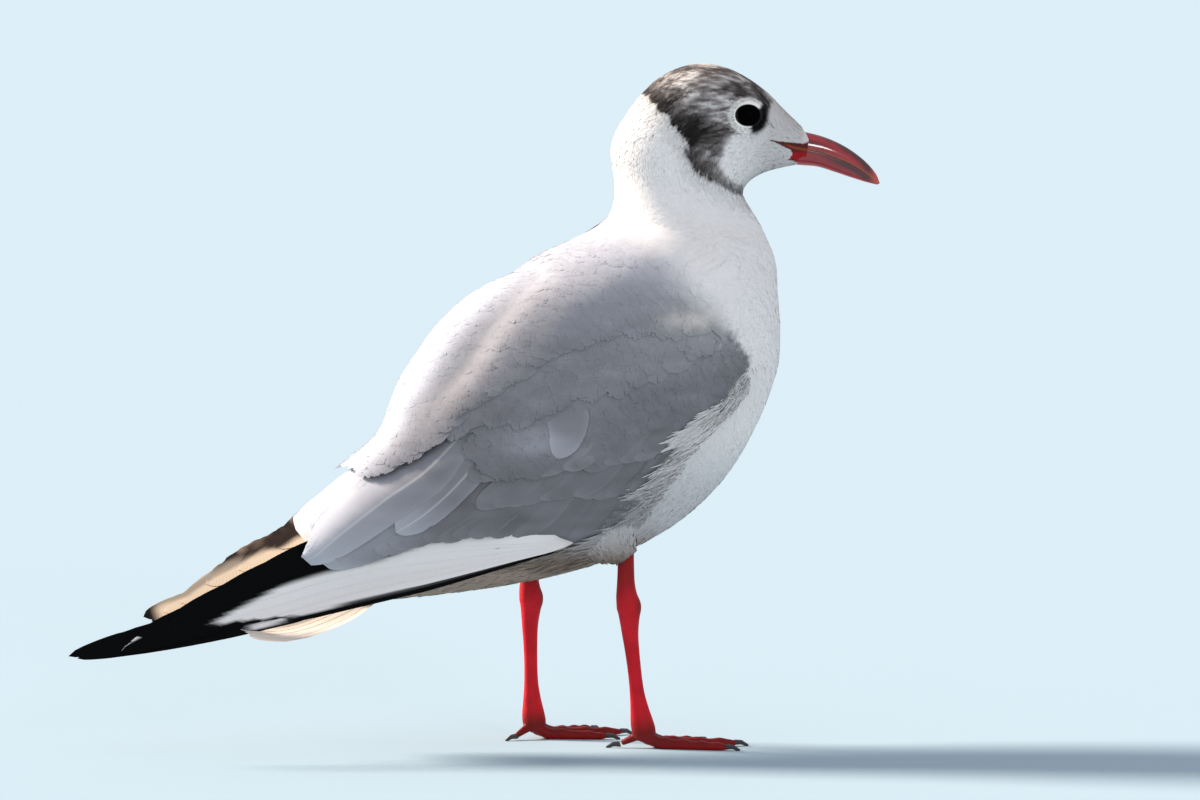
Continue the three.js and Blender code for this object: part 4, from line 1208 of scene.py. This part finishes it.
def lids(side, tree):
    """The bare rim round an eye, let into the head's skin: points, triangles and colours."""
    turn = np.linspace(0, 2 * math.pi, 64, endpoint=False)
    centre = eye_centre(side)
    pivot, up = np.array([HEAD_PIVOT_X, 0, 0]), np.array([0, 0, 1.0])
    out, fore = (turn_head(pivot + way, HEAD_TURN) - turn_head(pivot, HEAD_TURN) for way in ([0, side, 0], [1, 0, 0]))
    out = unit(out + 0.05 * up)
    rings, tones = [], []
    for share, lift in LID_RINGS:
        wide, high = np.sin(LID_WIDE) * share, np.sin(LID_HIGH) * share
        flat = (np.cos(turn)[:, None] * fore * wide + np.sin(turn)[:, None] * up * high) * EYE_RADIUS
        ball_height = np.sqrt(np.clip(EYE_RADIUS**2 - (flat**2).sum(1), 0, None))
        skin_height = np.full(len(turn), -9.0)
        for n in range(len(turn)):
            hit = tree.ray_cast((centre + flat[n] + out * 25).tolist(), (-out).tolist())
            if hit[0] is not None:
                skin_height[n] = 25 - hit[3]
        height = np.maximum(ball_height + lift, skin_height + 0.1) if share < 1.7 else skin_height + lift
        rings.append(centre + flat + out * height[:, None])
        heading = (np.degrees(turn) + 20 + 180) % 360 - 180
        white = smooth(50, 62, np.abs(heading)) * (share > 1.08)
        tones.append(blend(BLACK, RING_WHITE, white))
    faces = grid_faces(len(rings), len(turn), True)
    return np.concatenate(rings), triangles(faces if side == RIGHT else faces[:, ::-1]), np.concatenate(tones)


# ------------------------------------------------------------------ bill

CULMEN = [[80, 230.5], [90, 229], [98, 226.8], [105.5, 223.2], [112, 218.4], [116.3, 213.6], [118, 209.8]]
GONYS = [[80, 217.4], [88, 216.6], [94.5, 216], [101, 214], [107, 212], [112.4, 210.3], [116.8, 209.2]]
MOUTH_LINE = [[76, 224.4], [86, 223.2], [94, 221.8], [102, 219], [108, 216.3], [114, 212.3], [116.9, 209.7],
              [119, 207]]
BILL_HALF_WIDTH = 4.6
LEAST_SPAN = 0.06


def make_bill():
    """Both mandibles, in horn: the upper one's edges close over the lower one."""
    finish = coloured("bill", Roughness=0.3, Coat_Weight=1.0, Coat_Roughness=0.08, Coat_IOR=1.6,
                      Specular_IOR_Level=0.15)
    share = np.linspace(0, 1, 90) ** 0.92
    top, bottom = spline(CULMEN, share), spline(GONYS, share)
    centre, up = (top + bottom) / 2, (top - bottom) / 2
    mouth_line = spline(MOUTH_LINE, np.linspace(0, 1, 400))
    half = BILL_HALF_WIDTH * (1 - 0.84 * share**1.15)
    angles = np.linspace(-math.pi, math.pi, 721)
    for name, sign in (("bill_upper", 1), ("bill_lower", -1)):
        tuck, ridge = (1.0, 0.0) if sign > 0 else (0.955, math.pi)
        rows = []
        for i in range(len(share)):
            ring = centre[i] + up[i] * np.cos(angles)[:, None]
            over = ring[:, 1] > np.interp(ring[:, 0], mouth_line[:, 0], mouth_line[:, 1])
            limit = min(np.abs(angles[over]).max() if over.any() else LEAST_SPAN, math.pi - LEAST_SPAN)
            span = np.linspace(-limit, limit, 41) if sign > 0 else np.linspace(limit, 2 * math.pi - limit, 41)
            view = centre[i] + up[i] * np.cos(span)[:, None]
            y = half[i] * np.sin(span) * tuck * (1 - 0.10 * np.exp(-((span - ridge) / 0.5) ** 2))
            rows.append(np.stack([view[:, 0], y, view[:, 1]], 1))
        grid = np.array(rows)
        local = grid.reshape(-1, 3)
        tris = triangles(grid_faces(grid.shape[0], grid.shape[1], True)[:, ::-1])
        piece = mesh_object(name + "_horn", turn_head(local, HEAD_TURN), tris, colours=bill_colours(local, sign),
                            finish=finish)
        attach(piece, "root")
        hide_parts(name)


def bill_colours(local, sign):
    """Crimson, with a dark ridge, browner edges, a blackish patch near the gonys and a translucent tip."""
    x, side = local[:, 0], local[:, [0, 2]]
    lines = (spline(line, np.linspace(0, 1, 60)) for line in (CULMEN, MOUTH_LINE, GONYS))
    ridge, mouth, keel = (line_distance(side, line) for line in lines)
    mottle = noise(local, 2.0, 21) - 0.5
    out = np.repeat(BILL_BRIGHT[None] if sign > 0 else mix(BILL_BRIGHT, BILL_DEEP, 0.45)[None], len(local), 0)
    if sign > 0:
        out = blend(out, BILL_BLACK, smooth(2.2, 0.4, ridge + 0.6 * mottle) * smooth(84, 104, x) * 0.85)
        out = blend(out, BILL_BLACK, smooth(3.6, 1.2, ridge + 1.5 * mottle) * smooth(100, 108, x) * 0.7)
        out = blend(out, BILL_DEEP, smooth(4.4, 3.2, mouth) * smooth(0.9, 1.6, mouth) * smooth(108, 90, x) * 0.95)
        out = blend(out, BILL_EDGE, smooth(1.2, 0.5, mouth) * 0.9)
    else:
        out = blend(out, BILL_BLACK, smooth(3.0, 1.0, mouth) * smooth(93, 105, x) * smooth(116.5, 112, x))
        # Darker just under the mouth line, beneath the upper mandible's overhanging edge: painted shade.
        out = blend(out, BILL_DEEP, smooth(1.6, 0.4, mouth) * 0.9)
        out = blend(out, mix(BILL_BRIGHT, BILL_TIP, 0.3), smooth(1.0, 0.2, keel) * 0.8)
    out = blend(out, BILL_TIP, smooth(113.5, 117, x) * 0.85)
    return np.clip(out * (1 + 0.25 * mottle[:, None]), 0.002, 1)


# ------------------------------------------------------------------ legs and feet

LEG = {
    RIGHT: {"hip": [15, 84], "ankle": [15.9, 53], "foot": [21.6, 6], "y": -21, "heading": -4},
    LEFT: {"hip": [-9, 76], "ankle": [-9.6, 53], "foot": [-8.6, 6], "y": 21, "heading": 3},
}
# Height, forward offset, half thickness fore and aft, and half thickness across.
LEG_FORM = np.array([
    [86, 0, 4.2, 4.0], [77, 0, 3.4, 3.1], [70, 0, 3.1, 2.8], [62, -0.2, 3.4, 3.0], [57, 0, 4.1, 3.3],
    [53, 0.7, 4.7, 3.4], [49, 0.4, 3.9, 2.9], [43, 0, 3.15, 2.4], [36, 0, 2.75, 2.1], [28, 0, 2.6, 1.95],
    [21, 0, 2.8, 2.05], [15, 0.2, 3.5, 2.5], [10, 0.5, 4.3, 3.2], [6.5, 0.9, 4.5, 3.5], [3.4, 1.4, 3.8, 3.1],
])
TOES = {
    "inner": {"angle": -24, "length": 28, "root": 2.5, "tip": 1.45, "joints": (0.42, 0.76)},
    "middle": {"angle": 2, "length": 36, "root": 2.7, "tip": 1.5, "joints": (0.33, 0.6, 0.83)},
    "outer": {"angle": 27, "length": 33, "root": 2.5, "tip": 1.45, "joints": (0.28, 0.5, 0.7, 0.87)},
}
HIND_TOE = {"angle": 200, "length": 7.5}
LEG_RED, LEG_PINK, LEG_DARK, FOOT_DARK = paint(204, 30, 42), paint(196, 20, 34), paint(112, 20, 20), paint(66, 10, 10)


def tube(path, tall, wide, up, columns=18):
    """A tube along a path: half thickness tall along `up` and wide across it, with closed ends."""
    path = np.asarray(path, float)
    way = unit(np.gradient(path, axis=0))
    across = unit(np.cross(way, np.asarray(up, float)))
    high = unit(np.cross(across, way))
    angle = np.linspace(0, 2 * math.pi, columns, endpoint=False)
    ring = high[:, None] * np.cos(angle)[None, :, None] * np.asarray(tall)[:, None, None]
    ring = ring + across[:, None] * np.sin(angle)[None, :, None] * np.asarray(wide)[:, None, None]
    grid = path[:, None] + ring
    return np.concatenate([grid.reshape(-1, 3), [path[0], path[-1]]]), capped_tube(len(path), columns)


def toe_way(side, toe):
    angle = math.radians(toe["angle"] * side + LEG[side]["heading"])
    return np.array([math.cos(angle), math.sin(angle), 0.0])


def toe_tube(side, toe):
    """A toe that comes down from the foot, with a knuckle at each joint."""
    s = np.linspace(0, 1, 30)
    radius = mix(toe["root"], toe["tip"], s)
    for joint in toe["joints"]:
        knuckle, hollow = (np.exp(-(((s - joint - behind) / 0.05) ** 2)) for behind in (0, 0.1))
        radius = radius * (1 + 0.13 * knuckle - 0.05 * hollow)
    path = np.array([LEG[side]["foot"][0], LEG[side]["y"], 0.0]) + toe_way(side, toe) * (toe["length"] * s)[:, None]
    path[:, 2] = radius * 0.86 + 2.4 * smooth(0.26, 0.0, s)
    radius = radius * np.where(s > 0.96, 0.8, 1)
    return tube(path, radius * 0.92, radius, [0, 0, 1])


def web_sheet(side, first, second):
    """The web between two toes, as a thin closed sheet that sags a little."""
    leg, rows, columns = LEG[side], 16, 18
    u, v = np.meshgrid(np.linspace(0, 1, rows), np.linspace(0.04, 1, columns), indexing="ij")
    a, b = toe_way(side, first) * first["length"], toe_way(side, second) * second["length"]
    reach = v * (0.93 - 0.26 * np.sin(math.pi * u))
    flat = mix(a, b, u[..., None]) * reach[..., None] + np.array([leg["foot"][0], leg["y"], 0.0])
    height = 1.25 - 0.35 * np.sin(math.pi * u) + 1.2 * smooth(0.3, 0, v) + 0.15 * np.sin(v * 26 + 3 * u)
    sheets = []
    for offset in (0.55, -0.55):
        flat[..., 2] = height + offset
        sheets.append(flat.reshape(-1, 3).copy())
    n = rows * columns
    grid = np.arange(n).reshape(rows, columns)
    loop = np.concatenate([grid[:, 0], grid[-1, 1:], grid[-2::-1, -1], grid[0, -2:0:-1]])
    rim = np.stack([loop, np.roll(loop, -1), np.roll(loop, -1) + n, loop + n], 1)
    quads = grid_faces(rows, columns, False)
    return np.concatenate(sheets), triangles(np.concatenate([quads, quads[:, ::-1] + n, rim]))


def leg_line(side, z):
    leg = LEG[side]
    heights = [leg["foot"][1], leg["ankle"][1], leg["hip"][1]]
    return np.interp(z, heights, [leg["foot"][0], leg["ankle"][0], leg["hip"][0]])


def join(parts):
    points, faces, count = [], [], 0
    for p, f in parts:
        points.append(p)
        faces.append(f + count)
        count += len(p)
    return np.concatenate(points), np.concatenate(faces)


def leg_shell(side):
    """A bare leg and webbed foot, grown together: points, triangles and colours."""
    leg = LEG[side]
    top = leg["hip"][1] + 2
    form = spline(LEG_FORM, np.linspace(0, 1, 90))
    form = form[form[:, 0] < top]
    heading = toe_way(side, {"angle": 0})
    path = np.stack([leg_line(side, form[:, 0]), np.full(len(form), float(leg["y"])), form[:, 0]], 1)
    path = path + heading * form[:, 1:2]
    parts = [tube(path, form[:, 2], form[:, 3], heading, 28)]
    parts += [toe_tube(side, toe) for toe in TOES.values()]
    parts += [web_sheet(side, TOES["inner"], TOES["middle"]), web_sheet(side, TOES["middle"], TOES["outer"])]
    path = np.linspace(0, HIND_TOE["length"], 8)[:, None] * toe_way(side, HIND_TOE)
    path = path + np.array([leg["foot"][0], leg["y"], 5.4])
    path[:, 2] += np.linspace(0, -3.6, 8)
    radius = np.linspace(1.9, 1.05, 8)
    parts.append(tube(path, radius, radius, [0, 0, 1]))
    points, faces = fused(*join(parts))
    points[:, 2] = np.maximum(points[:, 2], 0.0)
    return points, faces, leg_colours(side, points)


def fused(points, faces):
    """Overlapping closed shapes grown into one smooth skin."""
    obj = mesh_object("fused", points, faces)
    remesh = obj.modifiers.new("remesh", "REMESH")
    remesh.mode, remesh.voxel_size = "VOXEL", 0.42 * MM
    soft = obj.modifiers.new("smooth", "SMOOTH")
    soft.factor, soft.iterations = 0.5, 4
    depsgraph = bpy.context.evaluated_depsgraph_get()
    mesh = obj.evaluated_get(depsgraph).to_mesh()
    mesh.calc_loop_triangles()
    out = np.zeros(len(mesh.vertices) * 3, np.float32)
    mesh.vertices.foreach_get("co", out)
    tris = np.zeros(len(mesh.loop_triangles) * 3, np.int32)
    mesh.loop_triangles.foreach_get("vertices", tris)
    bpy.data.objects.remove(obj)
    return from_world(out.reshape(-1, 3)), tris.reshape(-1, 3)


def leg_colours(side, points):
    """Red, darker above the ankle and under the foot, pinker down the shank and at the soles' edge."""
    z, y = points[:, 2], LEG[side]["y"]
    low = smooth(14, 5, z)
    front = (points - np.stack([leg_line(side, z), np.full(len(z), y), z], 1)) @ toe_way(side, {"angle": 0})
    out = np.repeat(LEG_RED[None], len(points), 0)
    out = blend(out, LEG_PINK, smooth(50, 34, z) * 0.45)
    out = blend(out, LEG_DARK, smooth(52, 66, z) * 0.75)
    out = blend(out, LEG_DARK, smooth(1.5, 4.5, front) * spot(points[:, [1, 2]], [y, 53], [6, 4]) * 0.8)
    out = blend(out, FOOT_DARK, low * 0.75)
    out = blend(out, LEG_PINK, smooth(2.2, 0.4, z) * low * 0.5)
    return np.clip(out * (1 + 0.35 * (noise(points, 4.0, 31) - 0.5)[:, None]), 0.01, 1)


def skin_finish():
    """Coloured skin with small scales as bump."""
    m = coloured("skin", Roughness=0.5, Specular_IOR_Level=0.14)
    tree = m.node_tree
    place = tree.nodes.new("ShaderNodeTexCoord")
    stretch = tree.nodes.new("ShaderNodeMapping")
    stretch.inputs["Scale"].default_value = (1, 1, 0.75)
    cells = tree.nodes.new("ShaderNodeTexVoronoi")
    cells.feature = "DISTANCE_TO_EDGE"
    cells.inputs["Scale"].default_value = 780
    bump = tree.nodes.new("ShaderNodeBump")
    bump.inputs["Strength"].default_value = 0.5
    bump.inputs["Distance"].default_value = 0.0003
    tree.links.new(place.outputs["Object"], stretch.inputs["Vector"])
    tree.links.new(stretch.outputs["Vector"], cells.inputs["Vector"])
    tree.links.new(cells.outputs["Distance"], bump.inputs["Height"])
    tree.links.new(bump.outputs["Normal"], tree.nodes["Principled BSDF"].inputs["Normal"])
    return m


class Thigh(Surface):
    """The feathered drumstick of one leg, which ends just above the ankle."""

    def __init__(self, side):
        leg = LEG[side]
        hip, ankle, y = leg["hip"], leg["ankle"], leg["y"]
        line = spline([[hip[0] - 9, y * 0.9, hip[1] + 12], [hip[0] - 5.5, y * 0.95, (hip[1] + ankle[1]) / 2 + 12],
                       [ankle[0] - 0.6, y, ankle[1] + 19]], np.linspace(0, 1, 40))
        radius = spline([[19, 13], [13.5, 9.5], [4.2, 3.9]], np.linspace(0, 1, 40))
        angle = np.linspace(-math.pi, math.pi, 48, endpoint=False)
        way = unit(np.gradient(line, axis=0))
        across = unit(np.cross(way, [1.0, 0, 0]))
        fore = unit(np.cross(across, way))
        ring = fore[:, None] * np.cos(angle)[None, :, None] * radius[:, :1, None]
        ring = ring + across[:, None] * np.sin(angle)[None, :, None] * radius[:, 1:, None]
        super().__init__(line[:, None] + ring)
        if ((self.points - line[:, None]) * self.normals).sum() < 0:
            super().__init__(self.points[:, ::-1])

    def colours(self, t, a, points):
        # Greyer than the belly and darker towards the thigh's lower end: painted shade.
        return belly_tone(points) * mix(0.86, 0.6, smooth(78, 69, points[:, 2]))[:, None]


def thigh_coat(side, finish):
    surface = Thigh(side)
    places = lattice(surface, lambda t: 1.5, 0.02, 0.98)
    t = places[:, 0]
    n = len(t)
    length = mix(11.0, 5.0, t) * rng.uniform(0.8, 1.2, n)
    grow_coat(f"coat_thigh_{SIDE_NAME[side]}", surface, places, BODY_BARBS, "feathers_white", finish,
              length=length, width=length * 0.25, lift=rng.uniform(0.1, 0.9, n), sink=0.8, camber=0.3,
              yaw=rng.normal(0, 0.15, n), fray=0.45, tip_light=0.1)


def make_skin():
    """One skin: body, lids, thighs, bare legs and webbed feet."""
    body = shell(envelope, coat_depth(envelope.share))
    tree = BVHTree.FromPolygons(body[0].tolist(), body[1].tolist())
    parts = [body] + [lids(side, tree) for side in (RIGHT, LEFT)]
    for side in (RIGHT, LEFT):
        parts += [shell(Thigh(side), 0.8), leg_shell(side)]
    points, faces = join([part[:2] for part in parts])
    colours = np.concatenate([part[2] for part in parts])
    skin = mesh_object("skin", points, faces, colours=colours, finish=skin_finish())
    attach(skin, "root")
    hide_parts(*flesh_nodes(*FEATHERED_NODES, "leg_{}_thigh", "leg_{}_shank", "foot_{}"))


def finish_claws():
    """The solids' own claws, as dark horn."""
    horn, _ = material("claw", Base_Color=(*paint(52, 48, 46), 1), Roughness=0.3)
    for name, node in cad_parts.items():
        if name.startswith("claw_"):
            for slot in node.material_slots:
                slot.material = horn
            for polygon in node.data.polygons:
                polygon.use_smooth = True


# ------------------------------------------------------------------ stage, light and camera

VIEW_AZIMUTH, VIEW_ELEVATION = math.radians(-17), math.radians(4)
VIEW_DISTANCE, VIEW_WIDTH, SENSOR_WIDTH = 3.0, 0.45, 36
AIM_RIGHT, AIM_UP = 11.25, 129.0
WORLD_COLOUR, WORLD_STRENGTH = (0.82, 0.84, 0.92, 1), 0.78
FLOOR_COLOUR, FLOOR_HALF = (0.385, 0.492, 0.562, 1), 40.0
# Each light comes from a direction given as shares of the picture's right, up and towards-the-camera axes.
LIGHTS = {
    "key": {"from": (-1.0, 0.56, -0.25), "softness": 0.25, "power": 8.2, "colour": (1.0, 0.88, 0.76)},
    "front": {"from": (0.40, 0.30, 1.0), "softness": 0.15, "power": 0.3, "colour": (1.0, 1.0, 1.0)},
}
LIGHT_HEIGHT, LIGHT_DISTANCE = 0.13, 1.6


def view_axes():
    """The picture's right, up and towards-the-camera directions."""
    sa, ca, se, ce = (math.sin(VIEW_AZIMUTH), math.cos(VIEW_AZIMUTH), math.sin(VIEW_ELEVATION), math.cos(VIEW_ELEVATION))
    return np.array([ca, sa, 0]), np.array([-sa * se, ca * se, ce]), np.array([sa * ce, -ca * ce, se])


def add_camera():
    right, up, back = view_axes()
    place = to_world(right * AIM_RIGHT + up * AIM_UP) + back * VIEW_DISTANCE
    data = bpy.data.cameras.new("camera")
    data.sensor_width = SENSOR_WIDTH
    data.lens = SENSOR_WIDTH * VIEW_DISTANCE / VIEW_WIDTH
    camera = bpy.data.objects.new("camera", data)
    bpy.context.scene.collection.objects.link(camera)
    camera.matrix_world = Matrix([[right[k], up[k], back[k], place[k]] for k in range(3)] + [[0, 0, 0, 1]])
    bpy.context.scene.camera = camera


def add_light(name, settings):
    """A broad soft light from far away in a direction."""
    data = bpy.data.lights.new(name, "SUN")
    data.angle, data.energy, data.color = settings["softness"], settings["power"], settings["colour"]
    light = bpy.data.objects.new(name, data)
    bpy.context.scene.collection.objects.link(light)
    way = Vector(sum(share * axis for share, axis in zip(settings["from"], view_axes()))).normalized()
    light.location = Vector((0, 0, LIGHT_HEIGHT)) + way * LIGHT_DISTANCE
    light.rotation_euler = way.to_track_quat("Z", "Y").to_euler()


def add_stage():
    world = bpy.data.worlds.new("studio")
    world.use_nodes = True
    world.node_tree.nodes["Background"].inputs["Color"].default_value = WORLD_COLOUR
    world.node_tree.nodes["Background"].inputs["Strength"].default_value = WORLD_STRENGTH
    bpy.context.scene.world = world
    floor_finish, _ = material("floor", Base_Color=FLOOR_COLOUR, Roughness=1.0, Specular_IOR_Level=0.0)
    mesh = bpy.data.meshes.new("floor")
    s = FLOOR_HALF
    mesh.from_pydata([(-s, -s, 0), (s, -s, 0), (s, s, 0), (-s, s, 0)], [], [(0, 1, 2, 3)])
    mesh.materials.append(floor_finish)
    floor = bpy.data.objects.new("floor", mesh)
    bpy.context.scene.collection.objects.link(floor)
    for name, settings in LIGHTS.items():
        add_light(name, settings)
    bpy.context.scene.view_settings.view_transform = "Standard"


# ------------------------------------------------------------------ the bird

def main():
    make_skin()
    make_eyes()
    make_bill()
    finish_claws()
    feather = barbed("feather", Roughness=0.75, Specular_IOR_Level=0.15)
    primary = barbed("primary_feather", Roughness=0.8, Specular_IOR_Level=0.04)
    head_coat(feather)
    body_coat(feather)
    laid_coat("coat_coverts", COVERTS, feather, gap=2.4, long=12.0, slim=0.28, level=0.2, fray=0.12, pale=0.12)
    laid_coat("coat_scapulars", LOWER_SCAPULARS, feather, gap=3.2, long=21.0, slim=0.22, level=0.8, fray=0.07,
              pale=0.20)
    laid_coat("coat_mantle", UPPER_SCAPULARS, feather, gap=2.6, long=17.0, slim=0.24, level=1.3, fray=0.06, pale=0.12)
    flank_coat(feather)
    for side in (RIGHT, LEFT):
        thigh_coat(side, feather)
        make_wing(side, feather, primary)
    make_tail(feather)
    add_stage()
    add_camera()


main()
